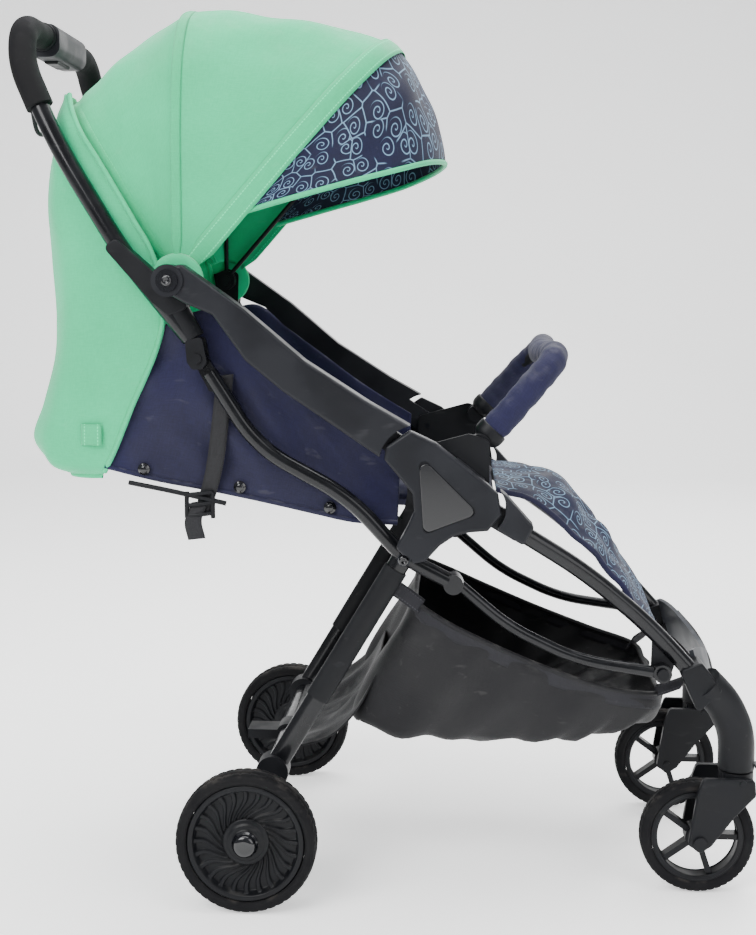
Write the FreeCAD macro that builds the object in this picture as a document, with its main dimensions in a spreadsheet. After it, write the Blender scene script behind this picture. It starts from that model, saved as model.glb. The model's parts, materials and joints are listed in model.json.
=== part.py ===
import FreeCAD, Part

import math
import os

import Sketcher
from FreeCAD import Placement, Rotation, Vector

# A folding baby stroller, in millimetres. +X is forwards, +Z is up, and the stroller is
# symmetrical about the XZ plane. The origin is on the floor at the middle of its footprint.
# Each point of the side view is measured from the floor point under the rear axle.

# ---------------------------------------------------------------- driving dimensions
SIZES = {
    # wheels
    "rear_axle_x": -158.0, "rear_wheel_radius": 85.0, "rear_wheel_width": 31.0, "rear_wheel_y": 219.5,
    "front_axle_x": 547.0, "front_wheel_radius": 70.0, "front_wheel_width": 24.0,
    "tyre_depth": 14.0, "caster_trail": 47.0, "axle_radius": 5.0, "hub_radius": 15.0,
    "front_spokes": 5.0, "rear_ribs": 20.0,
    # pivots of the folding frame
    "arm_pivot_x": 205.0, "arm_pivot_z": 540.0, "handle_pivot_x": -88.0, "handle_pivot_z": 754.0,
    "link_top_x": -60.0, "link_top_z": 661.0, "link_pivot_x": 187.0, "link_pivot_z": 422.0,
    "clevis_x": 246.0, "clevis_z": 391.0, "strut_pivot_x": 498.0, "strut_pivot_z": 281.0,
    "front_pivot_x": 274.0, "front_pivot_z": 490.0, "leg_foot_x": 24.0, "leg_foot_z": 150.0,
    "bumper_pivot_x": 276.0, "bumper_pivot_z": 560.0, "seat_hinge_x": 120.0, "seat_hinge_z": 492.0,
    # frame tubes
    "handle_tube": 23.0, "link_tube": 19.0, "strut_tube": 14.0, "front_tube": 21.0,
    "leg_width": 26.0, "leg_thickness": 16.0, "sleeve_wall": 1.8, "tube_wall": 1.6,
    "crossbar_tube": 20.0, "grip_wall": 5.0, "bow_rod": 6.0, "hood_stub": 8.0, "recline_rod": 5.0,
    "bumper_core": 20.0, "bumper_sleeve": 36.0,
    # layers, as distances from the middle plane
    "handle_y": 184.0, "link_y": 182.0, "leg_y": 160.0, "strut_y": 162.5, "arm_inner_y": 198.5,
    "arm_outer_y": 226.0, "pocket_y": 211.5, "handle_top_y": 150.0, "front_tube_y": 150.0,
    "bow_y": 163.0, "seat_half": 160.0, "basket_half": 146.0, "caster_y": 132.5,
    # handle and hood
    "handle_top_z": 1065.0, "handle_back_x": -297.0, "mid_bow_reach": 334.0, "mid_bow_angle": 90.0,
    "front_bow_reach": 386.0, "front_bow_angle": 49.0, "hood_back_reach": 272.0, "hood_back_angle": 121.0,
    "visor_reach": 346.0, "visor_angle": 25.0, "fabric": 4.0,
    # pins and clearances
    "pin_radius": 4.0, "pin_gap": 0.05, "wheel_gap": 0.05, "side_gap": 0.5,
}

doc = FreeCAD.newDocument("Stroller")
sheet = doc.addObject("Spreadsheet::Sheet", "Sizes")
for row, (alias, number) in enumerate(SIZES.items(), start=1):
    sheet.set(f"A{row}", alias)
    sheet.set(f"B{row}", str(number))
    sheet.setAlias(f"B{row}", alias)

# Places that follow from the dimensions above.
WORKED_OUT = {
    "rear_wheel_x": "=0", "rear_wheel_z": "=rear_wheel_radius",
    "front_wheel_x": "=front_axle_x", "front_wheel_y": "=caster_y", "front_wheel_z": "=front_wheel_radius",
    "swivel_x": "=front_axle_x + caster_trail", "swivel_z": "=2 * front_wheel_radius + 12",
    "rear_wheel_in": "=rear_wheel_y - rear_wheel_width / 2",
    "rear_wheel_out": "=rear_wheel_y + rear_wheel_width / 2",
}
for row, (alias, formula) in enumerate(WORKED_OUT.items(), start=len(SIZES) + 2):
    sheet.set(f"A{row}", alias)
    sheet.set(f"B{row}", formula)
    sheet.setAlias(f"B{row}", alias)
doc.recompute()

TO_RIGHT = Rotation(Vector(1, 0, 0), 90)
NODES = []


def size(alias):
    """The number in the sheet's cell of that name."""
    return float(sheet.get(alias))


def point(pivot, dx=0.0, dz=0.0, across=0.0):
    """A point dx forwards of and dz above a named pivot, at that distance across."""
    return Vector(size("rear_axle_x") + size(pivot + "_x") + dx, across, size(pivot + "_z") + dz)


def node(obj, label):
    """Name an object as one sub-part."""
    obj.Label = label
    NODES.append(obj)
    return obj


def bind(obj, **expressions):
    """Bind an object's properties to expressions on the sheet."""
    for prop, expression in expressions.items():
        obj.setExpression(prop.replace("__", "."), expression)
    return obj


def at_pivot(obj, pivot, across, dx=0.0, dz=0.0):
    """Bind an object's place to a pivot in the sheet."""
    bind(obj, Placement__Base__x=f"Sizes.rear_axle_x + Sizes.{pivot}_x + {dx}",
         Placement__Base__y=across, Placement__Base__z=f"Sizes.{pivot}_z + {dz}")
    return obj


# ---------------------------------------------------------------- building blocks
def cross_pin(name, pivot, radius, inner, outer, dx=0.0, dz=0.0):
    """A cylinder across the stroller on the right side, from inner to outer (expressions)."""
    pin = doc.addObject("Part::Cylinder", name)
    pin.Placement = Placement(Vector(), TO_RIGHT)
    bind(pin, Radius=radius, Height=f"({outer}) - ({inner})")
    return at_pivot(pin, pivot, f"-({inner})", dx, dz)


def block(name, pivot, low, high, inner, outer):
    """A box on the right side, between two side-view corners measured from a pivot."""
    box = doc.addObject("Part::Box", name)
    bind(box, Length=str(high[0] - low[0]), Height=str(high[1] - low[1]),
         Width=f"({outer}) - ({inner})")
    return at_pivot(box, pivot, f"-({outer})", low[0], low[1])


def upright(name, radius, x_expression, y_expression, low, high):
    """A vertical cylinder between two heights (expressions)."""
    rod = doc.addObject("Part::Cylinder", name)
    bind(rod, Radius=radius, Height=f"({high}) - ({low})", Placement__Base__x=x_expression,
         Placement__Base__y=y_expression, Placement__Base__z=low)
    return rod


def fuse(name, *parts):
    """One solid from several that meet."""
    joined = doc.addObject("Part::MultiFuse", name)
    joined.Shapes = list(parts)
    joined.Refine = True
    return joined


def cut(name, base, *tools):
    """The base with each tool taken out of it."""
    for count, tool in enumerate(tools):
        step = doc.addObject("Part::Cut", f"{name}_{count}")
        step.Base, step.Tool = base, tool
        base = step
    return base


def mirror(part, name):
    """The left-hand twin of a right-hand piece."""
    twin = doc.addObject("Part::Mirroring", name)
    twin.Source, twin.Normal = part, Vector(0, 1, 0)
    return twin


def group(name, *parts):
    """Separate solids that share one node."""
    bundle = doc.addObject("Part::Compound", name)
    bundle.Links = list(parts)
    return bundle


def both_sides(part, label):
    """A right-hand piece and its left-hand twin in one node."""
    return node(group(label, part, mirror(part, label + "_twin")), label)


def sketch_on(body, role, vertices):
    """A closed outline on one of the body's origin planes, each vertex bound to the sheet.

    A vertex is ((number, expression), (number, expression)).
    """
    sketch = body.newObject("Sketcher::SketchObject", body.Name + "_outline")
    plane = [item for item in body.Origin.OriginFeatures if item.Role == role][0]
    sketch.AttachmentSupport = [(plane, "")]
    sketch.MapMode = "FlatFace"
    total = len(vertices)
    places = [Vector(u[0], v[0], 0) for u, v in vertices]
    for index in range(total):
        sketch.addGeometry(Part.LineSegment(places[index], places[(index + 1) % total]))
    for index in range(total):
        sketch.addConstraint(Sketcher.Constraint("Coincident", index, 2, (index + 1) % total, 1))
    for index, (u, v) in enumerate(vertices):
        for kind, (number, expression) in (("DistanceX", u), ("DistanceY", v)):
            rule = sketch.addConstraint(Sketcher.Constraint(kind, -1, 1, index, 1, number))
            sketch.setExpression(f"Constraints[{rule}]", expression)
    return sketch


def side_vertex(pivot, dx, dz):
    """A vertex of a side-view outline, measured from a pivot."""
    return ((size(pivot + "_x") + dx, f"Sizes.{pivot}_x + {dx}"),
            (size(pivot + "_z") + dz, f"Sizes.{pivot}_z + {dz}"))


def plate(name, outline, inner, outer, corner=0.0, rim=0.0):
    """A flat piece on the right side: an outline in the side view, from inner to outer.

    corner rounds the outline's corners and rim rounds the edge of the outer face.
    """
    body = doc.addObject("PartDesign::Body", name)
    sketch = sketch_on(body, "XZ_Plane", [side_vertex(*vertex) for vertex in outline])
    pad = body.newObject("PartDesign::Pad", name + "_pad")
    pad.Profile = sketch
    bind(pad, Length=f"({outer}) - ({inner})")
    bind(body, Placement__Base__x="Sizes.rear_axle_x", Placement__Base__y=f"-({inner})")
    doc.recompute()
    if corner:
        round_off(body, pad, corner, lambda edge: abs(edge.tangentAt(edge.FirstParameter).y) > 0.99)
    if rim:
        face = body.Tip.Shape.BoundBox.YMin
        round_off(body, body.Tip, rim, lambda edge: edge.BoundBox.YMax < face + 0.01)
    return body


def round_off(body, feature, radius, wanted):
    """A fillet on the feature's edges that pass the test."""
    names = [f"Edge{index}" for index, edge in enumerate(feature.Shape.Edges, start=1) if wanted(edge)]
    rounding = body.newObject("PartDesign::Fillet", feature.Name + "_round")
    rounding.Base = (feature, names)
    rounding.Radius = radius
    doc.recompute()
    return rounding


def turned(name, profile):
    """A turned piece about its own Z axis, from a profile of (radius, height) expressions."""
    body = doc.addObject("PartDesign::Body", name)
    sketch = sketch_on(body, "XZ_Plane", profile)
    spin = body.newObject("PartDesign::Revolution", name + "_turn")
    spin.Profile = sketch
    spin.ReferenceAxis = (sketch, ["V_Axis"])
    spin.Angle = 360
    doc.recompute()
    return body


def rounded_path(points, fullness=0.48):
    """A wire of straight runs joined by tangent arcs.

    Each arc takes up that share of the shorter of its two runs.
    """
    edges, start = [], points[0]
    for before, corner, after in zip(points, points[1:], points[2:]):
        back, front = before - corner, after - corner
        reach = fullness * min(back.Length, front.Length)
        back.normalize()
        front.normalize()
        half_turn = (math.pi - back.getAngle(front)) / 2
        radius = reach / math.tan(half_turn)
        inward = (back + front).normalize()
        middle = corner + inward * (radius / math.cos(half_turn) - radius)
        edges.append(Part.LineSegment(start, corner + back * reach).toShape())
        edges.append(Part.Arc(corner + back * reach, middle, corner + front * reach).toShape())
        start = corner + front * reach
    edges.append(Part.LineSegment(start, points[-1]).toShape())
    return Part.Wire(edges)


def rod(name, path, radius):
    """A round bar along a wire: its section is a circle bound to the sheet."""
    spine = doc.addObject("Part::Feature", name + "_path")
    spine.Shape = path
    first = path.OrderedEdges[0]
    start = first.valueAt(first.FirstParameter)
    heading = first.tangentAt(first.FirstParameter)
    section = doc.addObject("Part::Circle", name + "_section")
    bind(section, Radius=radius)
    section.Placement = Placement(start, Rotation(Vector(0, 0, 1), heading))
    sweep = doc.addObject("Part::Sweep", name)
    sweep.Sections = [section]
    sweep.Spine = (spine, [f"Edge{count}" for count in range(1, len(path.Edges) + 1)])
    sweep.Solid, sweep.Frenet = True, False
    return sweep


def tube(name, path, radius):
    """A round tube along a wire, with the sheet's tube wall."""
    return cut(name, rod(name + "_outside", path, radius),
               rod(name + "_inside", path, f"{radius} - Sizes.tube_wall"))


def oval(name, points, width, thickness):
    """A straight bar of oval section between two points, wide in the side view."""
    start, end = points
    section = doc.addObject("Part::Ellipse", name + "_section")
    bind(section, MajorRadius=f"({width}) / 2", MinorRadius=f"({thickness}) / 2")
    heading = (end - start).normalize()
    wide = Vector(0, 1, 0).cross(heading)
    section.Placement = Placement(start, Rotation(wide, heading.cross(wide), heading, "ZXY"))
    bar = doc.addObject("Part::Extrusion", name)
    bar.Base, bar.Dir, bar.DirMode = section, heading, "Custom"
    bar.LengthFwd = (end - start).Length
    bar.Solid = True
    return bar


def shaped(name, shape):
    """A soft piece, whose shape is worked out from the sheet's values."""
    feature = doc.addObject("Part::Feature", name)
    feature.Shape = shape
    return feature


PIN_BORE = "Sizes.pin_radius + Sizes.pin_gap"

# ---------------------------------------------------------------- rear frame
LEG_TOP = point("link_pivot", across=-size("leg_y"))
LEG_FOOT = point("leg_foot", across=-size("leg_y"))
LEG_LINE = (LEG_FOOT - LEG_TOP).normalize()
SLEEVE_END = LEG_TOP + LEG_LINE * 210.0


def make_leg():
    """The right rear leg, an oval tube with a bore for the pivot pin at its top."""
    outside = oval("leg_outside", (LEG_TOP - LEG_LINE * 16.0, LEG_FOOT - LEG_LINE * 12.0),
                   "Sizes.leg_width", "Sizes.leg_thickness")
    inside = oval("leg_inside", (LEG_TOP + LEG_LINE * 12.0, LEG_FOOT - LEG_LINE * 12.0),
                  "Sizes.leg_width - 2 * Sizes.tube_wall", "Sizes.leg_thickness - 2 * Sizes.tube_wall")
    bore = cross_pin("leg_bore", "link_pivot", "Sizes.pin_radius", "Sizes.leg_y - 20", "Sizes.leg_y + 20")
    return cut("leg_tube", outside, inside, bore)


leg = node(make_leg(), "rear_leg_right")
node(mirror(leg, "rear_leg_left"), "rear_leg_left")

sleeve_solid = oval("sleeve_outside", (LEG_TOP + LEG_LINE * 22.0, SLEEVE_END),
                    "Sizes.leg_width + 2 * Sizes.sleeve_wall",
                    "Sizes.leg_thickness + 2 * Sizes.sleeve_wall")
sleeve_bore = oval("sleeve_inside", (LEG_TOP + LEG_LINE * 21.0, SLEEVE_END + LEG_LINE),
                   "Sizes.leg_width", "Sizes.leg_thickness")
both_sides(cut("leg_sleeve", sleeve_solid, sleeve_bore), "leg_sleeves")

# The foot casting: a round boss at the leg's foot, an arm down to the axle and an axle boss.
foot = fuse("foot_solid",
            cross_pin("foot_boss", "leg_foot", "20", "Sizes.leg_y - 13", "Sizes.leg_y + 13"),
            cross_pin("axle_boss", "rear_wheel", "16", "Sizes.leg_y - 13", "Sizes.rear_wheel_in - 2"),
            oval("foot_arm", (LEG_FOOT, point("rear_wheel", across=-size("leg_y"))), "28", "22"))
leg_socket = oval("leg_socket", (LEG_TOP, LEG_FOOT - LEG_LINE * 12.0), "Sizes.leg_width",
                  "Sizes.leg_thickness")
bar_socket = cross_pin("bar_socket", "leg_foot", "Sizes.crossbar_tube / 2", "100", "Sizes.leg_y - 4")
axle_socket = cross_pin("axle_socket", "rear_wheel", "Sizes.axle_radius", "Sizes.leg_y - 8", "300")
both_sides(cut("foot", foot, leg_socket, bar_socket, axle_socket), "axle_housings")

bar = cross_pin("bar_outside", "leg_foot", "Sizes.crossbar_tube / 2", "-(Sizes.leg_y - 4)",
                "Sizes.leg_y - 4")
bar_bore = cross_pin("bar_inside", "leg_foot", "Sizes.crossbar_tube / 2 - Sizes.tube_wall",
                     "-Sizes.leg_y", "Sizes.leg_y")
node(cut("crossbar", bar, bar_bore), "rear_crossbar")

axle = fuse("axle_solid",
            cross_pin("axle_shaft", "rear_wheel", "Sizes.axle_radius", "Sizes.leg_y - 8",
                      "Sizes.rear_wheel_out + 3"),
            cross_pin("axle_head", "rear_wheel", "9", "Sizes.rear_wheel_out + 3",
                      "Sizes.rear_wheel_out + 6"))
both_sides(axle, "rear_axles")

# The hub: an outer cover in a Y, pocketed for the armrest's and the front frame's tongues.
HUB_OUTLINE = [
    ("arm_pivot", -10, 40), ("arm_pivot", -38, 21), ("arm_pivot", -40, 6), ("arm_pivot", -25, -12),
    ("link_pivot", 11, 84), ("link_pivot", 13, 62), ("link_pivot", 5, 44), ("link_pivot", -8, 20),
    ("link_pivot", 10, 1), ("link_pivot", 26, 4), ("link_pivot", 43, 23), ("front_pivot", -28, -34),
    ("front_pivot", -10, -29), ("front_pivot", 12, -27), ("front_pivot", 28, -8), ("front_pivot", 24, 16),
    ("front_pivot", 12, 28), ("arm_pivot", 20, 26),
]
hub_blank = plate("hub_blank", HUB_OUTLINE, "Sizes.arm_inner_y", "Sizes.arm_outer_y", 4.0, 4.0)
arm_pocket = cross_pin("arm_pocket", "arm_pivot", "45.5", "Sizes.arm_inner_y - 5", "Sizes.pocket_y")
front_pocket = cross_pin("front_pocket", "front_pivot", "32", "Sizes.arm_inner_y - 5", "Sizes.pocket_y")
cap_pocket = plate("cap_pocket", [("arm_pivot", 0, 14), ("link_pivot", 24, 36), ("front_pivot", 2, -6)],
                   "Sizes.arm_outer_y - 2", "Sizes.arm_outer_y + 2", 6.0)
low_pin_room = cross_pin("low_pin_room", "link_pivot", "12", "Sizes.arm_inner_y - 5",
                         "Sizes.arm_outer_y + 5")
pin_room = cross_pin("arm_pin_room", "arm_pivot", "Sizes.pin_radius", "Sizes.link_y",
                     "Sizes.arm_outer_y - 4")
front_room = cross_pin("front_pin_room", "front_pivot", "Sizes.pin_radius", "Sizes.link_y",
                       "Sizes.arm_outer_y - 4")
hub = cut("hub", hub_blank, arm_pocket, front_pocket, cap_pocket, low_pin_room, pin_room, front_room)
node(hub, "hub_cover_right")
node(mirror(hub, "hub_cover_left"), "hub_cover_left")

cap = plate("hub_cap", [("arm_pivot", 0, 13), ("link_pivot", 24, 37), ("front_pivot", 1, -6)],
            "Sizes.arm_outer_y - 2", "Sizes.arm_outer_y + 1.5", 7.5, 1.2)
both_sides(cap, "hub_caps")

# The inner plate closes the hub, and a bridge ties it past the long link to the leg's top.
inner_plate = plate("inner_plate", [("arm_pivot", -14, 14), ("arm_pivot", -14, -48),
                                    ("front_pivot", 14, -14), ("bumper_pivot", 12, 6),
                                    ("bumper_pivot", -12, 14)],
                    "Sizes.arm_inner_y - 4.5", "Sizes.arm_inner_y - 0.5", 8.0)
bridge = block("bridge", "arm_pivot", (-9, -44), (9, -28), "Sizes.leg_y - 8", "Sizes.arm_inner_y - 4")
bracket = plate("leg_bracket", [("link_pivot", -13, -6), ("link_pivot", 13, -6), ("arm_pivot", 12, -26),
                                ("arm_pivot", -12, -26)], "Sizes.leg_y - 12", "Sizes.leg_y - 8.2", 5.0)
plate_holes = [cross_pin("plate_arm_hole", "arm_pivot", "Sizes.pin_radius", "Sizes.leg_y",
                         "Sizes.arm_outer_y"),
               cross_pin("plate_front_hole", "front_pivot", "Sizes.pin_radius", "Sizes.leg_y",
                         "Sizes.arm_outer_y"),
               cross_pin("bracket_hole", "link_pivot", "Sizes.pin_radius", "Sizes.leg_y - 20",
                         "Sizes.arm_outer_y")]
bridge_tie = block("bridge_tie", "arm_pivot", (-9, -44), (9, -28), "Sizes.leg_y - 12",
                   "Sizes.leg_y - 7")
hub_solid = fuse("hub_plate_solid", inner_plate, bridge, bridge_tie, bracket)
both_sides(cut("hub_plate", hub_solid, *plate_holes), "hub_plates")

link_pin = fuse("link_pin", cross_pin("link_pin_shaft", "link_pivot", "Sizes.pin_radius",
                                      "Sizes.leg_y - 12", "Sizes.link_y + Sizes.link_tube / 2 + 1"),
                cross_pin("link_pin_head", "link_pivot", "8", "Sizes.link_y + Sizes.link_tube / 2 + 1",
                          "Sizes.link_y + Sizes.link_tube / 2 + 4"))
arm_pin = cross_pin("arm_pin", "arm_pivot", "Sizes.pin_radius", "Sizes.arm_inner_y - 4.5",
                    "Sizes.arm_outer_y - 4")
front_pin = cross_pin("front_pin", "front_pivot", "Sizes.pin_radius", "Sizes.arm_inner_y - 4.5",
                      "Sizes.arm_outer_y - 4")
both_sides(group("hub_pin_set", link_pin, arm_pin, front_pin), "hub_pins")

# The bumper bar's sockets stand on the inner plates.
socket = cross_pin("socket_boss", "bumper_pivot", "13", "Sizes.leg_y + 26", "Sizes.arm_inner_y - 4.5")
socket_bore = cross_pin("socket_bore", "bumper_pivot", PIN_BORE, "Sizes.leg_y", "Sizes.arm_inner_y - 6")
both_sides(cut("socket", socket, socket_bore), "bumper_sockets")

# ---------------------------------------------------------------- armrests
ARM_OUTLINE = [
    ("handle_pivot", -15, 2), ("handle_pivot", -8, 15), ("handle_pivot", 16, 19),
    ("handle_pivot", 89, -33), ("arm_pivot", -133, 121), ("arm_pivot", -57, 72), ("arm_pivot", 10, 34),
    ("arm_pivot", -39, 4), ("arm_pivot", -104, 48), ("arm_pivot", -159, 85),
    ("handle_pivot", 90, -93), ("handle_pivot", 52, -40), ("handle_pivot", 20, -27),
    ("handle_pivot", 0, -16),
]
arm_blank = plate("arm_blank", ARM_OUTLINE, "Sizes.arm_inner_y", "Sizes.arm_outer_y", 6.0, 5.0)
arm_end = cross_pin("arm_end", "arm_pivot", "46.5", "Sizes.arm_inner_y - 5", "Sizes.arm_outer_y + 5")
tongue = plate("arm_tongue", [("arm_pivot", -9, -14), ("arm_pivot", 13, -10), ("arm_pivot", 12, 12),
                              ("arm_pivot", -62, 60), ("arm_pivot", -72, 44)],
               "Sizes.arm_inner_y", "Sizes.pocket_y - Sizes.side_gap", 6.0)
arm_bore = cross_pin("arm_bore", "arm_pivot", PIN_BORE, "Sizes.leg_y", "Sizes.arm_outer_y")
boss = cross_pin("arm_boss", "handle_pivot", "19", "Sizes.arm_inner_y", "Sizes.arm_outer_y + 2")
handle_bore = cross_pin("handle_bore", "handle_pivot", "Sizes.axle_radius + Sizes.pin_gap", "Sizes.leg_y",
                        "Sizes.arm_outer_y - 6")
arm_solid = fuse("arm_solid", cut("arm_beam", arm_blank, arm_end), tongue, boss)
arm = cut("arm", arm_solid, arm_bore, handle_bore)
node(arm, "armrest_right")
node(mirror(arm, "armrest_left"), "armrest_left")
both_sides(cross_pin("boss_cap", "handle_pivot", "13", "Sizes.arm_outer_y + 2", "Sizes.arm_outer_y + 4"),
           "pivot_caps")

# ---------------------------------------------------------------- handle frame
def handle_half():
    """The right half of the handle's path, from the forked end up to the wide corner."""
    side, top = size("handle_y"), size("handle_top_y")
    crown = Vector(size("rear_axle_x") + size("handle_back_x") + 14.0, -top + 14.0, size("handle_top_z"))
    return [point("link_top", -9.0, 24.0, -side), point("handle_pivot", 0.0, -46.0, -side),
            point("handle_pivot", -60.0, 28.0, -side), point("handle_pivot", -146.0, 166.0, -side + 11.0),
            point("handle_pivot", -190.0, 262.0, -top - 10.0), crown]


def mirrored(points):
    """The same points on the left, in the other order."""
    return [Vector(p.x, -p.y, p.z) for p in reversed(points)]


HANDLE_LINE = rounded_path(handle_half() + mirrored(handle_half()))
node(tube("handle", HANDLE_LINE, "Sizes.handle_tube / 2"), "handle_tube")

MODULE_HALF = 62.0


def grip_path():
    """The grip's line: up the tube, round the corner and in to the middle housing."""
    shoulder, bend, crown = handle_half()[-3:]
    return rounded_path([bend + (shoulder - bend) * 0.55, bend, crown,
                         Vector(crown.x, -MODULE_HALF, crown.z)])


grip = cut("grip", rod("grip_outside", grip_path(), "Sizes.handle_tube / 2 + Sizes.grip_wall"),
           rod("grip_room", HANDLE_LINE, "Sizes.handle_tube / 2"))
both_sides(grip, "handle_grips")

CROWN = handle_half()[-1]
MIDDLE = Vector(CROWN.x, 0, CROWN.z)


def module_shape():
    """The housing round the middle of the handle: a rounded box with the tube's bore."""
    radius = size("handle_tube") / 2
    box = Part.makeBox(44.0, 2 * MODULE_HALF - 3.0, 42.0,
                       Vector(CROWN.x - 22.0, -MODULE_HALF + 1.5, CROWN.z - 25.0))
    lengthwise = [edge for edge in box.Edges if abs(edge.tangentAt(edge.FirstParameter).y) > 0.9]
    box = box.makeFillet(14.0, lengthwise)
    bore = Part.makeCylinder(radius, 4 * MODULE_HALF, Vector(CROWN.x, -2 * MODULE_HALF, CROWN.z),
                             Vector(0, 1, 0))
    slot = Part.makeBox(18.6, 52.6, 8.0, Vector(CROWN.x - 9.3, -26.3, CROWN.z - 25.0))
    return box.cut(bore).cut(slot)


node(shaped("module", module_shape()), "handle_module")
button = doc.addObject("Part::Box", "button")
button.Length, button.Width, button.Height = 18.0, 52.0, 7.0
button.Placement.Base = Vector(CROWN.x - 9.0, -26.0, CROWN.z - 28.5)
button_round = doc.addObject("Part::Fillet", "button_round")
button_round.Base = button
doc.recompute()
button_round.Edges = [(count, 2.5, 2.5) for count, edge in enumerate(button.Shape.Edges, start=1)
                      if edge.BoundBox.ZMax < CROWN.z - 28.0]
node(button_round, "fold_button")

strap_points = [MIDDLE + Vector(-20.0, -40.0, -28.0), MIDDLE + Vector(-22.0, -44.0, -70.0),
                MIDDLE + Vector(-20.0, -26.0, -118.0), MIDDLE + Vector(-18.0, 2.0, -112.0),
                MIDDLE + Vector(-20.0, -14.0, -70.0), MIDDLE + Vector(-20.0, -30.0, -28.0)]
node(rod("strap", rounded_path(strap_points), "3"), "wrist_strap")

FORK_OUTLINE = [("link_top", -14, 22), ("link_top", -12, -4), ("link_top", -6, -13), ("link_top", 6, -13),
                ("link_top", 12, -4), ("link_top", 6, 26)]
cheek_outer = plate("cheek_outer", FORK_OUTLINE, "Sizes.handle_y + 7", "Sizes.handle_y + 12", 5.0)
cheek_inner = plate("cheek_inner", FORK_OUTLINE, "Sizes.handle_y - 13", "Sizes.handle_y - 8", 5.0)
fork_root = oval("fork_root", (point("link_top", -5.4, 24.0, -size("handle_y")),
                               point("handle_pivot", 0.5, -30.0, -size("handle_y"))), "27", "25")
fork_head = cross_pin("fork_head", "link_top", "6", "Sizes.handle_y + 12", "Sizes.handle_y + 14.5")
BRACKET_OUTLINE = [("handle_pivot", -68, 50), ("handle_pivot", -84, 40), ("handle_pivot", -26, -26),
                   ("handle_pivot", -6, -42), ("handle_pivot", 16, -34), ("handle_pivot", 17, 10),
                   ("handle_pivot", 2, 17), ("handle_pivot", -20, 8)]
bracket_plate = plate("bracket_plate", BRACKET_OUTLINE, "Sizes.handle_y - 13", "Sizes.handle_y + 13",
                      7.0, 2.0)
tube_room = rod("tube_room", rounded_path(handle_half()), "Sizes.handle_tube / 2")
pivot_stub = fuse("pivot_stub",
                  cross_pin("stub_outer", "handle_pivot", "Sizes.axle_radius", "Sizes.handle_y",
                            "Sizes.arm_outer_y - 6"),
                  cross_pin("stub_inner", "handle_pivot", "Sizes.hood_stub", "Sizes.bow_y + 2",
                            "Sizes.handle_y"))
both_sides(cut("handle_bracket", fuse("bracket_solid", bracket_plate, fork_root, cheek_outer, cheek_inner,
                                      fork_head, pivot_stub), tube_room), "handle_brackets")

# ---------------------------------------------------------------- hood
def swung(reach, angle, across):
    """A point at that distance and angle from the handle pivot, in the side view."""
    turn = math.radians(angle)
    return point("handle_pivot", reach * math.cos(turn), reach * math.sin(turn), across)


def bow_points(reach, angle, side, shoulder, base=17.0):
    """A hood bow: up one side, round two shoulders, and down the other."""
    half = [swung(base, angle, -side), swung(0.35 * reach, angle, -side),
            swung(reach - shoulder, angle, -side + 0.04 * shoulder),
            swung(reach - 0.12 * shoulder, angle, -side + 0.62 * shoulder),
            swung(reach, angle, -0.32 * side)]
    return half + mirrored(half)


def bow(name, reach, angle, wire_y, ring_in, ring_out, bore_in):
    """A wire bow with an eye on each side, bored from one distance outwards (distances from bow_y)."""
    line = rounded_path(bow_points(reach, angle, size("bow_y") + wire_y, 130.0, 12.0))
    wire = rod(name + "_wire", line, "Sizes.bow_rod / 2")
    eye = cross_pin(name + "_eye", "handle_pivot", "14", f"Sizes.bow_y + {ring_in}",
                    f"Sizes.bow_y + {ring_out}")
    bore = cross_pin(name + "_bore", "handle_pivot", "Sizes.hood_stub + Sizes.pin_gap",
                     f"Sizes.bow_y + {bore_in}", "Sizes.handle_y")
    return cut(name, fuse(name + "_solid", wire, eye, mirror(eye, name + "_eye_left")), bore,
               mirror(bore, name + "_bore_left"))


mid_wire = bow("mid_bow", size("mid_bow_reach"), size("mid_bow_angle"), 4.5, -2, 7, 1)
mid_stub = cross_pin("mid_stub", "handle_pivot", "Sizes.hood_stub", "Sizes.bow_y - 11", "Sizes.bow_y - 1")
node(fuse("mid_bow_whole", mid_wire, mid_stub, mirror(mid_stub, "mid_stub_left")), "hood_mid_bow")
node(bow("front_bow", size("front_bow_reach"), size("front_bow_angle"), -5.5, -8, -3, -30),
     "hood_front_bow")


def hood_section(reach, angle, side, base):
    """A closed outline of the hood in one bow's plane, open below at the base."""
    points = bow_points(reach, angle, side, 130.0, base)
    line = rounded_path(points)
    closing = Part.LineSegment(points[-1], points[0]).toShape()
    return Part.Wire(line.Edges + [closing])


def hood_shell(front, back, base=30.0):
    """Cloth from one bow's plane to another's: an outer loft with an inner one taken out.

    Each end is (reach, angle, half width).
    """
    wall = size("fabric")
    outer = Part.makeLoft([hood_section(r, a, w, base) for r, a, w in (front, back)], True, True)
    step = 0.5 if front[1] > back[1] else -0.5
    inner = Part.makeLoft([hood_section(front[0] - wall, front[1] + step, front[2] - wall, base - 12.0),
                           hood_section(back[0] - wall, back[1] - step, back[2] - wall, base - 12.0)],
                          True, True)
    return outer.cut(inner)


FRONT_END = (size("front_bow_reach") + 8.0, size("front_bow_angle"), size("bow_y") - 12.0)
MID_END = (size("mid_bow_reach") + 8.0, size("mid_bow_angle"), size("bow_y") - 6.0)
BACK_END = (size("hood_back_reach"), size("hood_back_angle"), size("handle_top_y") - 4.0)
node(shaped("front_panel", hood_shell((FRONT_END[0], FRONT_END[1] + 1.2, FRONT_END[2]),
                                      (MID_END[0], MID_END[1] - 1.2, MID_END[2]))), "hood_front_panel")
node(shaped("back_panel", hood_shell((MID_END[0], MID_END[1] + 1.2, MID_END[2]), BACK_END, 60.0)),
     "hood_back_panel")


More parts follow.
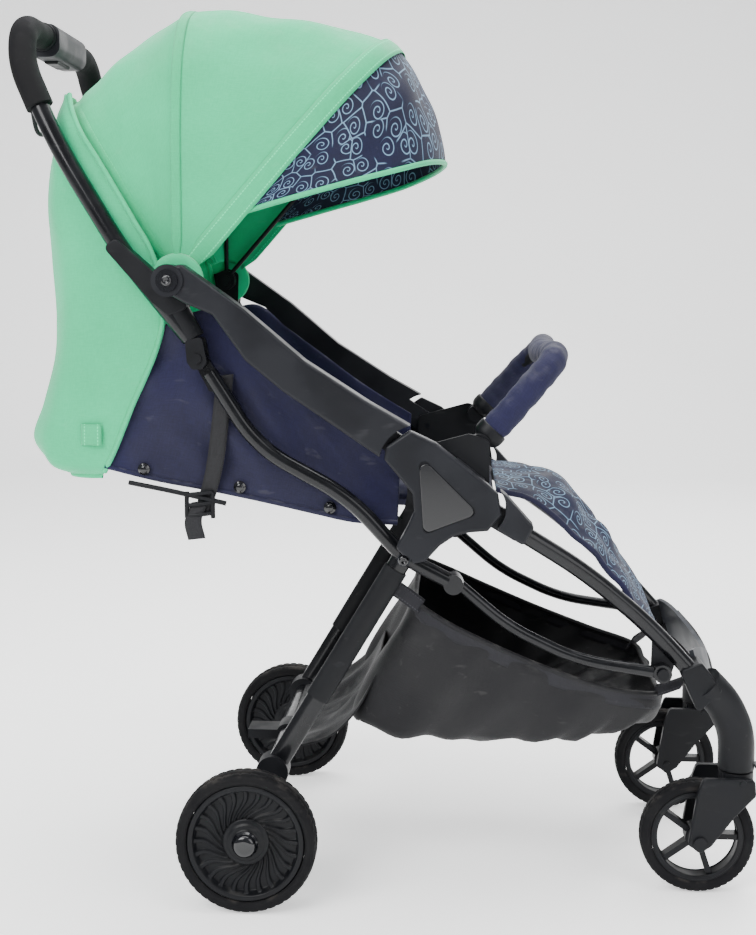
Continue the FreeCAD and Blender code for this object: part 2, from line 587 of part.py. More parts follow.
def visor_shape():
    """The peak: cloth swept down from the front bow, kept above its slanting edge."""
    front = (size("visor_reach"), size("visor_angle"), FRONT_END[2] - 26.0)
    shell = hood_shell((FRONT_END[0], FRONT_END[1] - 1.2, FRONT_END[2]), front)
    low, high = point("handle_pivot", 75.0, 82.0), point("handle_pivot", 340.0, 152.0)
    floor_z, rear_x = low.z - 400, low.x - 200
    below = Part.Face(Part.makePolygon([low, high, Vector(high.x, 0, floor_z), Vector(rear_x, 0, floor_z),
                                        Vector(rear_x, 0, low.z - 53), low]))
    below.translate(Vector(0, -300, 0))
    return shell.cut(below.extrude(Vector(0, 600, 0)))


node(shaped("visor", visor_shape()), "hood_visor")

# ---------------------------------------------------------------- rear links
def link_path():
    """The long link from near the handle's fork, past its pivot, to the clevis."""
    side = -size("link_y")
    return rounded_path([point("link_top", 13.0, -17.5, side), point("link_top", 70.0, -107.0, side),
                         point("link_pivot", -66.0, 72.0, side), point("link_pivot", 0.0, 0.0, side),
                         point("clevis", -6.0, 4.0, side)], 0.4)


tongue_top = plate("tongue_top", [("link_top", -9, 2), ("link_top", 0, 9), ("link_top", 9, 5),
                                  ("link_top", 30, -30), ("link_top", 14, -42)],
                   "Sizes.link_y - 4", "Sizes.link_y + 4", 4.0)
clevis = cross_pin("clevis_boss", "clevis", "12", "Sizes.strut_y + 8", "Sizes.link_y + 8")
link_solid = fuse("link_solid", rod("link_outside", link_path(), "Sizes.link_tube / 2"), tongue_top, clevis)
link_bore = cross_pin("link_bore", "link_pivot", PIN_BORE, "Sizes.leg_y", "Sizes.arm_outer_y")
link = cut("link", link_solid, link_bore)
node(link, "rear_link_right")
node(mirror(link, "rear_link_left"), "rear_link_left")

# ---------------------------------------------------------------- front frame
def front_path():
    """The front tube from the hub's tongue, in and down to the caster socket."""
    inward = -size("front_tube_y")
    return [point("front_pivot", 34.0, -20.0, -size("arm_inner_y") - 10.0),
            point("front_pivot", 128.0, -82.0, -size("arm_inner_y") + 18.0),
            point("front_pivot", 208.0, -152.0, inward - 6.0),
            point("front_wheel", 4.0, 192.0, inward)]


front = tube("front_tube_piece", rounded_path(front_path(), 0.4), "Sizes.front_tube / 2")
node(front, "front_tube_right")
node(mirror(front, "front_tube_left"), "front_tube_left")

front_tongue = plate("front_tongue", [("front_pivot", -12, -4), ("front_pivot", 0, 13),
                                      ("front_pivot", 12, 10), ("front_pivot", 56, -20),
                                      ("front_pivot", 46, -42), ("front_pivot", -4, -13)],
                     "Sizes.arm_inner_y", "Sizes.pocket_y - Sizes.side_gap", 4.0)
front_shell = plate("front_shell", [("front_pivot", 20, 26), ("front_pivot", 34, 14),
                                    ("front_pivot", 66, -22), ("front_pivot", 54, -44),
                                    ("front_pivot", 24, -27)],
                    "Sizes.arm_inner_y", "Sizes.arm_outer_y", 5.0, 4.0)
shell_end = cross_pin("shell_end", "front_pivot", "33", "Sizes.arm_inner_y - 5", "Sizes.arm_outer_y + 5")
tongue_bore = cross_pin("tongue_bore", "front_pivot", PIN_BORE, "Sizes.leg_y", "Sizes.arm_outer_y")
front_room_tube = rod("front_tube_room", rounded_path(front_path(), 0.4), "Sizes.front_tube / 2")
both_sides(cut("front_sleeve", fuse("front_sleeve_solid", cut("front_shell_end", front_shell, shell_end),
                                    front_tongue), tongue_bore, front_room_tube), "front_sleeves")

socket_block = plate("socket_block", [("front_wheel", -28, 214), ("front_wheel", -2, 225),
                                      ("front_wheel", 24, 190), ("front_wheel", -6, 163)],
                     "Sizes.front_tube_y - 17", "Sizes.front_tube_y + 16", 5.0, 3.0)
elbow_line = rounded_path([point("front_wheel", 4.0, 196.0, -size("front_tube_y") + 2),
                           point("front_wheel", 30.0, 168.0, -size("caster_y") - 6),
                           point("swivel", 0.0, 48.0, -size("caster_y")),
                           point("swivel", 0.0, 4.0, -size("caster_y"))], 0.45)
elbow_solid = fuse("elbow_solid", socket_block, rod("elbow_bend", elbow_line, "22"))
elbow_bore = upright("elbow_bore", "Sizes.axle_radius + Sizes.pin_gap",
                     "Sizes.rear_axle_x + Sizes.swivel_x", "-Sizes.caster_y",
                     "Sizes.swivel_z - 10", "Sizes.swivel_z + 32")
front_end_room = rod("front_end_room", rounded_path(front_path(), 0.4), "Sizes.front_tube / 2")
elbow = cut("elbow", elbow_solid, elbow_bore, front_end_room)
node(elbow, "caster_elbow_right")
elbow_left = node(mirror(elbow, "caster_elbow_left"), "caster_elbow_left")

strut_plate = plate("strut_plate", [("strut_pivot", -12, -8), ("strut_pivot", 10, -12),
                                    ("strut_pivot", 22, 30), ("strut_pivot", -10, 56)],
                    "Sizes.strut_y - 16", "Sizes.strut_y - 8", 5.0)
strut_pin = fuse("strut_pin", cross_pin("strut_pin_shaft", "strut_pivot", "Sizes.pin_radius",
                                        "Sizes.strut_y - 16", "Sizes.strut_y + 9"),
                 cross_pin("strut_pin_head", "strut_pivot", "7", "Sizes.strut_y + 9", "Sizes.strut_y + 12"))
both_sides(cut("front_bracket", fuse("front_bracket_solid", strut_plate, strut_pin),
               rod("bracket_tube_room", rounded_path(front_path(), 0.4), "Sizes.front_tube / 2")),
           "front_brackets")


def footrest_shape():
    """A shallow curved plate between the two sockets."""
    half = size("front_tube_y") - 19.0
    ribs = []
    for across, forward, height in ((-half, -4.0, 206.0), (-0.5 * half, 22.0, 190.0), (0.0, 32.0, 178.0),
                                    (0.5 * half, 22.0, 190.0), (half, -4.0, 206.0)):
        low = point("front_wheel", forward + 4.0, height - 24.0, across)
        high = point("front_wheel", forward - 8.0, height + 24.0, across)
        out = Vector(5.0, 0, 1.5)
        ribs.append(Part.makePolygon([low, high, high + out, low + out, low]))
    return Part.makeLoft(ribs, True, False)


node(cut("footrest_fit", shaped("footrest", footrest_shape()), elbow, elbow_left), "footrest_plate")

# ---------------------------------------------------------------- front struts
strut_line = rounded_path([point("clevis", 3.0, -2.0, -size("strut_y")),
                           point("clevis", 66.0, -56.0, -size("strut_y")),
                           point("clevis", 150.0, -96.0, -size("strut_y")),
                           point("strut_pivot", -11.0, 1.5, -size("strut_y"))], 0.4)
strut_eyes = [cross_pin("strut_eye_top", "clevis", "10", "Sizes.strut_y - 7", "Sizes.strut_y + 7"),
              cross_pin("strut_eye_low", "strut_pivot", "11", "Sizes.strut_y - 7", "Sizes.strut_y + 7")]
strut = cut("strut", fuse("strut_solid", rod("strut_rod", strut_line, "Sizes.strut_tube / 2"), *strut_eyes),
            cross_pin("strut_bore", "strut_pivot", PIN_BORE, "Sizes.strut_y - 20", "Sizes.strut_y + 20"))
both_sides(strut, "front_struts")

# ---------------------------------------------------------------- casters
SWIVEL_X, SWIVEL_Y = "Sizes.rear_axle_x + Sizes.swivel_x", "-Sizes.caster_y"
stem = upright("stem", "Sizes.axle_radius", SWIVEL_X, SWIVEL_Y, "Sizes.swivel_z - 2", "Sizes.swivel_z + 30")
collar = upright("collar", "21", SWIVEL_X, SWIVEL_Y, "Sizes.swivel_z - 13", "Sizes.swivel_z + 1")
knuckle = block("knuckle", "swivel", (-18, -13), (14, 0), "Sizes.caster_y - 14", "Sizes.caster_y + 14")
fork_pin_bore = cross_pin("fork_pin_bore", "swivel", PIN_BORE, "Sizes.caster_y - 40",
                          "Sizes.caster_y + 40", 4, -7)
head = cut("head", fuse("head_solid", stem, collar, knuckle), fork_pin_bore)
node(head, "caster_head_right")
node(mirror(head, "caster_head_left"), "caster_head_left")

FORK_SIDE = [("swivel", 18, -2), ("swivel", -44, -2), ("front_wheel", -4, 60), ("front_wheel", -14, -2),
             ("front_wheel", 0, -14), ("front_wheel", 14, -4), ("swivel", -6, -50), ("swivel", 20, -22)]
FORK_IN, FORK_OUT = "Sizes.front_wheel_width / 2 + 10", "Sizes.front_wheel_width / 2 + 17"
leg_out = plate("fork_leg_out", FORK_SIDE, f"Sizes.caster_y + {FORK_IN}",
                f"Sizes.caster_y + {FORK_OUT}", 6.0, 3.0)
leg_in = plate("fork_leg_in", FORK_SIDE, f"Sizes.caster_y - ({FORK_OUT})",
               f"Sizes.caster_y - ({FORK_IN})", 6.0)
fork_pin = cross_pin("fork_pin", "swivel", "Sizes.pin_radius", f"Sizes.caster_y - ({FORK_OUT}) - 1",
                     f"Sizes.caster_y + {FORK_OUT} + 2", 4, -7)
fork_bolt = fuse("fork_bolt",
                 cross_pin("fork_bolt_shaft", "front_wheel", "Sizes.pin_radius",
                           f"Sizes.caster_y - ({FORK_OUT}) - 2", f"Sizes.caster_y + {FORK_OUT} + 2"),
                 cross_pin("fork_bolt_head", "front_wheel", "8", f"Sizes.caster_y + {FORK_OUT}",
                           f"Sizes.caster_y + {FORK_OUT} + 3"))
fork = fuse("fork_solid", leg_out, leg_in, fork_pin, fork_bolt)
node(fork, "caster_fork_right")
node(mirror(fork, "caster_fork_left"), "caster_fork_left")

lever = block("lever", "swivel", (22.3, 5), (32, 9), "Sizes.caster_y - 8", "Sizes.caster_y + 8")
node(lever, "swivel_lock_right")
node(mirror(lever, "swivel_lock_left"), "swivel_lock_left")

# ---------------------------------------------------------------- wheels
def tyre(name, wheel, across, radius, width):
    """A tyre: a ring with a rounded tread."""
    depth = size("tyre_depth")
    body = turned(name, [((size(wheel + "_radius") + dr, f"Sizes.{radius} + {dr}"),
                          (share * size(width), f"{share} * Sizes.{width}"))
                         for dr, share in ((-depth, -0.44), (-5.0, -0.5), (-1.2, -0.34), (0.0, -0.16),
                                           (0.0, 0.16), (-1.2, 0.34), (-5.0, 0.5), (-depth, 0.44))])
    body.Placement = Placement(Vector(), TO_RIGHT)
    return at_pivot(body, wheel, f"-Sizes.{across}")


def rim(name, wheel, across, radius, width, spokes, spoke_wide, web):
    """A rim: an outer ring, a hub and its spokes, all one casting."""
    middle, bead = f"Sizes.{across}", f"Sizes.{radius} - Sizes.tyre_depth"
    inner, outer = f"{middle} - 0.42 * Sizes.{width}", f"{middle} + 0.42 * Sizes.{width}"
    ring = cut(name + "_ring", cross_pin(name + "_band", wheel, bead, inner, outer),
               cross_pin(name + "_well", wheel, f"{bead} - 6", f"{middle} - 40", f"{middle} + 40"))
    centre = cross_pin(name + "_centre", wheel, "Sizes.hub_radius", inner, outer)
    pieces = [ring, centre]
    if web:
        pieces.append(cross_pin(name + "_web", wheel, f"{bead} - 5", f"{middle} - 2", f"{middle} + 2"))
    for count in range(int(size(spokes))):
        spoke = doc.addObject("Part::Box", f"{name}_spoke_{count}")
        bind(spoke, Length=f"{bead} - 5 - Sizes.hub_radius / 2", Width=f"2 * 0.3 * Sizes.{width}",
             Height=str(spoke_wide))
        turn = Rotation(Vector(0, 1, 0), -360.0 / size(spokes) * count)
        corner = turn.multVec(Vector(size("hub_radius") / 2, -0.3 * size(width), -spoke_wide / 2))
        spoke.Placement = Placement(point(wheel, across=-size(across)) + corner, turn)
        pieces.append(spoke)
    bore = "Sizes.axle_radius + Sizes.wheel_gap" if web else "Sizes.pin_radius + Sizes.wheel_gap"
    return cut(name, fuse(name + "_solid", *pieces),
               cross_pin(name + "_bore", wheel, bore, f"{middle} - 60", f"{middle} + 60"))


for place, ribs, rib_wide, web in (("rear", "rear_ribs", 2.5, True), ("front", "front_spokes", 7.0, False)):
    wheel = place + "_wheel"
    sizes = (wheel, wheel + "_y", wheel + "_radius", wheel + "_width")
    right_tyre = tyre(wheel + "_tyre_solid", *sizes)
    right_rim = rim(wheel + "_rim_solid", *sizes, ribs, rib_wide, web)
    for piece, kind in ((right_tyre, "tyre"), (right_rim, "rim")):
        node(piece, f"{wheel}_{kind}_right")
        node(mirror(piece, f"{wheel}_{kind}_left"), f"{wheel}_{kind}_left")

# ---------------------------------------------------------------- brake
pedal_arm = block("pedal_arm", "leg_foot", (-52, -6), (0, 6), "0", "34")
pedal_boss = cross_pin("pedal_boss", "leg_foot", "Sizes.crossbar_tube / 2 + 4", "0", "34")
pedal_bore = cross_pin("pedal_bore", "leg_foot", "Sizes.crossbar_tube / 2 + Sizes.pin_gap", "-10", "50")
node(cut("pedal", fuse("pedal_solid", pedal_boss, pedal_arm), pedal_bore), "brake_pedal")

# ---------------------------------------------------------------- bumper bar
def bumper_half():
    """The right half of the bar's path, from its socket up and in to the arch."""
    side = size("arm_inner_y") - 26.0
    return [point("bumper_pivot", 8.0, 6.0, -side), point("bumper_pivot", 56.0, 58.0, -side + 6.0),
            point("bumper_pivot", 94.0, 104.0, -0.72 * side),
            point("bumper_pivot", 84.0, 100.0, -0.3 * side)]


bar_line = rounded_path(bumper_half() + mirrored(bumper_half()))
bumper_eye = cross_pin("bumper_eye", "bumper_pivot", "12", "Sizes.arm_inner_y - 26",
                       "Sizes.arm_inner_y - 13")
bumper_stub = cross_pin("bumper_stub", "bumper_pivot", "Sizes.pin_radius", "Sizes.arm_inner_y - 13",
                        "Sizes.arm_inner_y - 7")
bumper = fuse("bumper_solid", rod("bumper_rod", bar_line, "Sizes.bumper_core / 2"), bumper_eye, bumper_stub,
              mirror(bumper_eye, "bumper_eye_left"), mirror(bumper_stub, "bumper_stub_left"))
node(bumper, "bumper_bar")


def cover_half():
    """The right half of the cloth cover's path, which starts a little way up the bar."""
    first, second = bumper_half()[0], bumper_half()[1]
    return [first + (second - first) * 0.42] + bumper_half()[1:]


node(cut("bumper_cover", rod("cover_outside", rounded_path(cover_half() + mirrored(cover_half())),
                             "Sizes.bumper_sleeve / 2"),
         rod("cover_room", rounded_path(cover_half() + mirrored(cover_half())), "Sizes.bumper_core / 2")),
     "bumper_cover")

# ---------------------------------------------------------------- soft goods
def side_face(corners, across):
    """A flat face in the side view at that distance across."""
    places = [Vector(p.x, across, p.z) for p in corners]
    return Part.Face(Part.makePolygon(places + places[:1]))


def slab(corners, half):
    """A side-view outline carried across the stroller, from -half to half."""
    return side_face(corners, -half).extrude(Vector(0, 2 * half, 0))


SEAT_HALF = size("seat_half")
seat_line = [point("seat_hinge", 6.5, -14.0), point("arm_pivot", 100.0, -64.0),
             point("arm_pivot", 100.0, -44.0), point("seat_hinge", 6.5, 8.0)]
node(shaped("seat", slab(seat_line, SEAT_HALF - 14.0)), "seat_base")

back_line = [point("seat_hinge", -4.0, -12.0), point("seat_hinge", -4.0, 10.0),
             point("seat_hinge", -296.0, 58.0), point("seat_hinge", -299.0, 36.0)]
back_rod = cross_pin("back_rod", "seat_hinge", "Sizes.recline_rod", "-(Sizes.seat_half - 14)",
                     "Sizes.seat_half - 14")
node(fuse("back", shaped("back_board", slab(back_line, SEAT_HALF - 14.0)), back_rod), "seat_back")


def seat_side_shape():
    """The cloth walls between the armrests and the seat, one on each side."""
    outline = [point("seat_hinge", -299.0, 36.0), point("seat_hinge", -170.0, 10.0),
               point("seat_hinge", -41.0, -19.0), point("seat_hinge", 43.0, -28.0),
               point("arm_pivot", -40.0, 8.0), point("arm_pivot", -104.0, 52.0),
               point("handle_pivot", 90.0, -84.0), point("handle_pivot", 40.0, -34.0),
               point("handle_pivot", -20.0, -60.0)]
    wall = side_face(outline, -SEAT_HALF - 4.0).extrude(Vector(0, size("fabric"), 0))
    return wall


side_wall = shaped("side_wall", seat_side_shape())
both_sides(side_wall, "seat_sides")


def tub(low, high, low_half, high_half, wall):
    """An open-topped tub lofted from a bottom outline to a rim outline.

    low and high are the (back, front) points of the bottom and of the rim.
    """
    def ring(ends, half, shrink):
        back, front = ends
        across, rear_x, front_x = half - shrink, back.x + shrink, front.x - shrink
        corners = [Vector(rear_x, -across, back.z), Vector(front_x, -across, front.z),
                   Vector(front_x, across, front.z), Vector(rear_x, across, back.z)]
        return Part.makePolygon(corners + corners[:1])

    outer = Part.makeLoft([ring(low, low_half, 0.0), ring(high, high_half, 0.0)], True, True)
    lift = Vector(0, 0, wall)
    raised = [p + lift for p in low]
    above = [p + (p - q) * 0.02 for p, q in zip(high, low)]
    inner = Part.makeLoft([ring(raised, low_half, wall), ring(above, high_half, wall)], True, True)
    return outer.cut(inner)


BASKET_HALF = size("basket_half")
node(shaped("basket_cloth", tub((point("rear_wheel", 105.0, 101.0), point("rear_wheel", 450.0, 112.0)),
                                (point("rear_wheel", 205.0, 265.0), point("rear_wheel", 506.0, 158.0)),
                                BASKET_HALF - 18.0, BASKET_HALF, size("fabric"))), "basket")


def flap_shape():
    """The cloth that hangs behind the seat from the handle's crossing."""
    outline = [point("handle_pivot", -142.0, 176.0), point("handle_pivot", -175.0, 82.0),
               point("handle_pivot", -165.0, -79.0), point("handle_pivot", -199.0, -197.0),
               point("handle_pivot", -106.0, -224.0), point("handle_pivot", -104.0, -219.0),
               point("handle_pivot", -193.0, -192.0), point("handle_pivot", -160.0, -79.0),
               point("handle_pivot", -170.0, 82.0), point("handle_pivot", -138.0, 174.0)]
    return slab(outline, 132.0)


node(shaped("flap", flap_shape()), "rear_flap")

leg_line = [point("strut_pivot", -187.0, 218.0), point("strut_pivot", -114.0, 218.0),
            point("strut_pivot", -61.0, 164.0), point("strut_pivot", -7.0, 72.0),
            point("strut_pivot", 14.0, 24.0), point("strut_pivot", 6.0, 20.0),
            point("strut_pivot", -16.0, 66.0),
            point("strut_pivot", -70.0, 152.0), point("strut_pivot", -118.0, 204.0),
            point("strut_pivot", -187.0, 204.0)]
node(shaped("leg_rest_cloth", slab(leg_line, 128.0)), "leg_rest")

STRAP_OFFSETS = [(16.0, -38.0), (4.0, -90.0), (-6.0, -164.0), (-20.0, -196.0), (4.0, -196.0),
                 (21.0, -164.0), (31.0, -90.0), (42.0, -38.0)]
strap_line = [point("link_top", dx, dz) for dx, dz in STRAP_OFFSETS]
strap_side = shaped("strap_side", side_face(strap_line, -SEAT_HALF - 7.5).extrude(Vector(0, 2.5, 0)))
both_sides(strap_side, "recline_strap")


# ---------------------------------------------------------------- checks and files
doc.recompute()
for item in doc.Objects:
    if "Invalid" in item.State or "Error" in item.State:
        raise RuntimeError(f"{item.Name} did not build: {item.State}")
for item in NODES:
    if item.Shape.isNull() or not item.Shape.isValid():
        raise RuntimeError(f"{item.Label} has no valid shape")
os.makedirs("parts", exist_ok=True)
for item in NODES:
    item.Shape.exportStep(f"parts/{item.Label}.step")
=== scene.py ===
"""A folding baby stroller: cloth, trim, wheels and finishes built round its fixed frame."""
import json
import logging
import math
from dataclasses import dataclass
from enum import Enum
from typing import Callable, Sequence

import bmesh
import bpy
import numpy as np
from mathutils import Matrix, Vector


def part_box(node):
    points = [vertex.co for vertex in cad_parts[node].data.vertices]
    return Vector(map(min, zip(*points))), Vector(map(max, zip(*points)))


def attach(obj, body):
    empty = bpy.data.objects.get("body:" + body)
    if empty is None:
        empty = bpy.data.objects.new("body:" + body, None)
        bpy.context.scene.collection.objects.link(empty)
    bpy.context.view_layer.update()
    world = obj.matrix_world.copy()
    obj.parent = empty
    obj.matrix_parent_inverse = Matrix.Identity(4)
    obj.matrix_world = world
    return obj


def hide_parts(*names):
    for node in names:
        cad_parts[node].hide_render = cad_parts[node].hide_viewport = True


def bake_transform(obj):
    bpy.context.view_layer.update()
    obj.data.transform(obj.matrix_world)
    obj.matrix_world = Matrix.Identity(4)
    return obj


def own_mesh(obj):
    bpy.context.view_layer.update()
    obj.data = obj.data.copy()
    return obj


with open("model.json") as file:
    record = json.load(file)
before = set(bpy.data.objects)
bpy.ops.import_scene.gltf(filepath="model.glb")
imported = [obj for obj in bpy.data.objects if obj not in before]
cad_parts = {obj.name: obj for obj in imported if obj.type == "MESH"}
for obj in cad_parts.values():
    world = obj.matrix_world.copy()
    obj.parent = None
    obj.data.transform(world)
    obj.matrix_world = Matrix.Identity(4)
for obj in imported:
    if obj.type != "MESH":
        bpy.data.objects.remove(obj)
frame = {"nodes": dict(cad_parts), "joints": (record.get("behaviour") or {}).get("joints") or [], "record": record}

log = logging.getLogger("stroller")
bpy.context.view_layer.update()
MM = 0.001
JOINTS = {joint["name"]: joint for joint in frame["joints"]}
AXLE_X = float(JOINTS["rear_wheel_spin_right"]["pos_m"][0])
Array = np.ndarray


class Side(Enum):
    """The stroller's two sides, each with its sign along Y."""

    RIGHT = -1
    LEFT = 1


class Slot(Enum):
    """The record's material slots, by name."""

    MINT = "mint_cloth"
    NAVY = "navy_cloth"
    PATTERN = "navy_pattern_cloth"
    BLACK = "black_cloth"
    WEBBING = "webbing"
    MOULDING = "moulding"
    RIM = "rim"
    TYRE = "tyre"
    STEEL = "steel"
    GLOSS = "gloss_cap"


# ---------------------------------------------------------------- curves and surfaces
def spot(x: float, y: float, z: float) -> Array:
    """A point in metres from millimetres forwards of the rear axle, across and up."""
    return np.array([AXLE_X + x * MM, y * MM, z * MM])


def spots(*points: tuple[float, float, float]) -> Array:
    """Several spots as one array."""
    return np.array([spot(*point) for point in points])


def smooth_line(points: Array, count: int) -> Array:
    """A smooth curve through points: cubic pieces whose slopes come from the neighbours.

    Args:
        points: The points that the curve passes through, one a row.
        count: How many evenly spaced samples to return.

    Returns:
        The samples, one a row.
    """
    points = np.asarray(points, float)
    knots = np.concatenate(([0.0], np.cumsum(np.linalg.norm(np.diff(points, axis=0), axis=1))))
    slope = np.gradient(points, knots, axis=0)
    place = np.linspace(0.0, knots[-1], count)
    span = np.clip(np.searchsorted(knots, place, side="right") - 1, 0, len(points) - 2)
    width = (knots[span + 1] - knots[span])[:, None]
    s = (place - knots[span])[:, None] / width
    return ((2 * s**3 - 3 * s**2 + 1) * points[span] + (s**3 - 2 * s**2 + s) * width * slope[span]
            + (3 * s**2 - 2 * s**3) * points[span + 1] + (s**3 - s**2) * width * slope[span + 1])


def loft(rows: Sequence[Array], count: int) -> Array:
    """A surface through several curves of equal length, smooth from one to the next.

    Args:
        rows: Curves with the same number of samples.
        count: How many rows the surface has.

    Returns:
        A grid of points, count by samples by 3.
    """
    stack = np.stack(rows)
    knots = np.linspace(0.0, 1.0, len(rows))
    slope = np.gradient(stack, knots, axis=0)
    place = np.linspace(0.0, 1.0, count)
    span = np.clip((place * (len(rows) - 1)).astype(int), 0, len(rows) - 2)
    width = 1.0 / (len(rows) - 1)
    s = ((place - knots[span]) / width)[:, None, None]
    return ((2 * s**3 - 3 * s**2 + 1) * stack[span] + (s**3 - 2 * s**2 + s) * width * slope[span]
            + (3 * s**2 - 2 * s**3) * stack[span + 1] + (s**3 - s**2) * width * slope[span + 1])


def ripple(u: Array, v: Array, seed: int, waves: int = 9, low: float = 1.0, high: float = 5.0) -> Array:
    """Soft creases: the mean of several slanting sine waves with fixed random headings.

    Args:
        u: First coordinate of each sample.
        v: Second coordinate of each sample.
        seed: Picks the headings and phases.
        waves: How many waves are added.
        low: Fewest waves across the unit square.
        high: Most waves across it.

    Returns:
        A height for each sample, between about -1 and 1.
    """
    draw = np.random.default_rng(seed)
    total = np.zeros_like(u)
    for turn, rate, phase in zip(draw.uniform(0, np.pi, waves), draw.uniform(low, high, waves),
                                 draw.uniform(0, 2 * np.pi, waves)):
        total += np.sin(2 * np.pi * rate * (np.cos(turn) * u + np.sin(turn) * v) + phase)
    return total / math.sqrt(waves)


def unit_grid(rows: int, columns: int) -> tuple[Array, Array]:
    """Two grids that run from 0 to 1 down the rows and along the columns."""
    return np.meshgrid(np.linspace(0, 1, rows), np.linspace(0, 1, columns), indexing="ij")


def outward(points: Array) -> Array:
    """Unit normals of a grid of points, from its two directions' cross product."""
    normal = np.cross(np.gradient(points, axis=0), np.gradient(points, axis=1))
    return normal / np.maximum(np.linalg.norm(normal, axis=-1, keepdims=True), 1e-9)


def run_lengths(points: Array, axis: int) -> Array:
    """Distance travelled along one direction of a grid, from its first row or column."""
    step = np.linalg.norm(np.diff(points, axis=axis), axis=-1)
    start = np.zeros_like(np.take(step, [0], axis=axis))
    return np.concatenate([start, np.cumsum(step, axis=axis)], axis=axis)


@dataclass
class Surface:
    """A grid of points with flags for the directions that close on themselves."""

    points: Array
    closed_rows: bool = False
    closed_columns: bool = False

    def faces(self) -> Array:
        """Four corner numbers for each cell of the grid."""
        rows, columns = self.points.shape[:2]
        number = np.arange(rows * columns).reshape(rows, columns)
        if self.closed_rows:
            number = np.concatenate([number, number[:1]])
        if self.closed_columns:
            number = np.concatenate([number, number[:, :1]], axis=1)
        return np.stack([number[:-1, :-1], number[1:, :-1], number[1:, 1:], number[:-1, 1:]],
                        axis=-1).reshape(-1, 4)

    def lengths(self) -> Array:
        """Metres along the rows and columns, which is the cloth's own flat pattern."""
        along = run_lengths(self.points, 0)
        across = run_lengths(self.points, 1)
        middle = across[:, across.shape[1] // 2][:, None]
        return np.stack([across - middle, np.broadcast_to(along.mean(axis=1, keepdims=True), along.shape)],
                        axis=-1)

    def flat_size(self) -> tuple[float, float]:
        """The cut's width and length: the longest run in each direction."""
        return (float(run_lengths(self.points, 1)[:, -1].max()), float(run_lengths(self.points, 0)[-1].max()))

    def area(self) -> float:
        """Area of the grid's cells in square metres."""
        quads = self.points.reshape(-1, 3)[self.faces()]
        return float(0.5 * np.linalg.norm(np.cross(quads[:, 2] - quads[:, 0], quads[:, 3] - quads[:, 1]),
                                          axis=-1).sum())

    def build(self, name: str, smooth: bool = True) -> bpy.types.Object:
        """A mesh object of the grid, with its flat pattern as its UV map in metres.

        Args:
            name: The piece's name.
            smooth: Whether its faces are shaded smooth.

        Returns:
            The new object, linked to the scene.
        """
        mesh = bpy.data.meshes.new(name)
        faces = self.faces()
        mesh.from_pydata(self.points.reshape(-1, 3), [], faces.tolist())
        layer = mesh.uv_layers.new(name="pattern")
        layer.data.foreach_set("uv", self.lengths().reshape(-1, 2)[faces.reshape(-1)].reshape(-1))
        mesh.polygons.foreach_set("use_smooth", np.full(len(faces), smooth))
        mesh.update()
        piece = bpy.data.objects.new(name, mesh)
        bpy.context.collection.objects.link(piece)
        return piece


def tube_surface(line: Array, radius: Array | float, around: int = 20,
                 hint: tuple[float, float, float] = (0.0, 0.0, 1.0)) -> Surface:
    """A tube: a circle carried along a line, turned by the line's tangent and a hint.

    Args:
        line: Points along the middle of the tube.
        radius: One radius, or one for each point.
        around: Points in each circle.
        hint: A direction that the line never runs along.

    Returns:
        The tube's surface, closed round each circle.
    """
    tangent = np.gradient(line, axis=0)
    tangent /= np.linalg.norm(tangent, axis=1, keepdims=True)
    across = np.cross(tangent, np.array(hint))
    across /= np.maximum(np.linalg.norm(across, axis=1, keepdims=True), 1e-9)
    up = np.cross(across, tangent)
    turn = np.linspace(0, 2 * np.pi, around, endpoint=False)
    size = np.broadcast_to(np.asarray(radius, float), (len(line),))
    circle = (np.cos(turn)[None, :, None] * across[:, None] + np.sin(turn)[None, :, None] * up[:, None])
    return Surface(line[:, None] + circle * size[:, None, None], closed_columns=True)


def ribbon_surface(line: Array, side: Array, width: float) -> Surface:
    """A flat strap: the line carried half a width to each side."""
    share = np.linspace(-0.5, 0.5, 5)
    return Surface(line[:, None] + share[None, :, None] * width * side[:, None])


def spun_surface(profile: Array, centre: Array, sign: int, count: int = 96,
                 lift: Callable[[Array, Array], Array] | None = None) -> Surface:
    """A turned piece about a crosswise axis.

    Args:
        profile: Rows of (radius, distance outwards from the centre plane) in metres.
        centre: The middle of the piece.
        sign: -1 for the right side and 1 for the left.
        count: Steps round the axis.
        lift: Adds to the distance outwards, from (radius, angle) grids.

    Returns:
        The surface, closed round the axis.
    """
    turn = np.linspace(0, 2 * np.pi, count, endpoint=False)
    radius, angle = np.meshgrid(profile[:, 0], turn, indexing="ij")
    out = np.broadcast_to(profile[:, 1][:, None], radius.shape)
    if lift is not None:
        out = out + lift(radius, angle)
    grid = np.stack([radius * np.cos(angle), sign * out, radius * np.sin(angle)], axis=-1)
    return Surface(centre + grid, closed_columns=True)


def thicken(piece: bpy.types.Object, wall: float, offset: float = 0.0) -> None:
    """Give a cloth surface its thickness, so that it has two faces and closed edges."""
    solid = piece.modifiers.new("wall", "SOLIDIFY")
    solid.thickness, solid.offset = wall, offset


def fix_normals(piece: bpy.types.Object) -> None:
    """Merge a closed piece's doubled points and turn its faces outwards."""
    shell = bmesh.new()
    shell.from_mesh(piece.data)
    bmesh.ops.remove_doubles(shell, verts=shell.verts, dist=1e-5)
    bmesh.ops.holes_fill(shell, edges=[edge for edge in shell.edges if edge.is_boundary], sides=0)
    bmesh.ops.recalc_face_normals(shell, faces=shell.faces)
    shell.to_mesh(piece.data)
    shell.free()


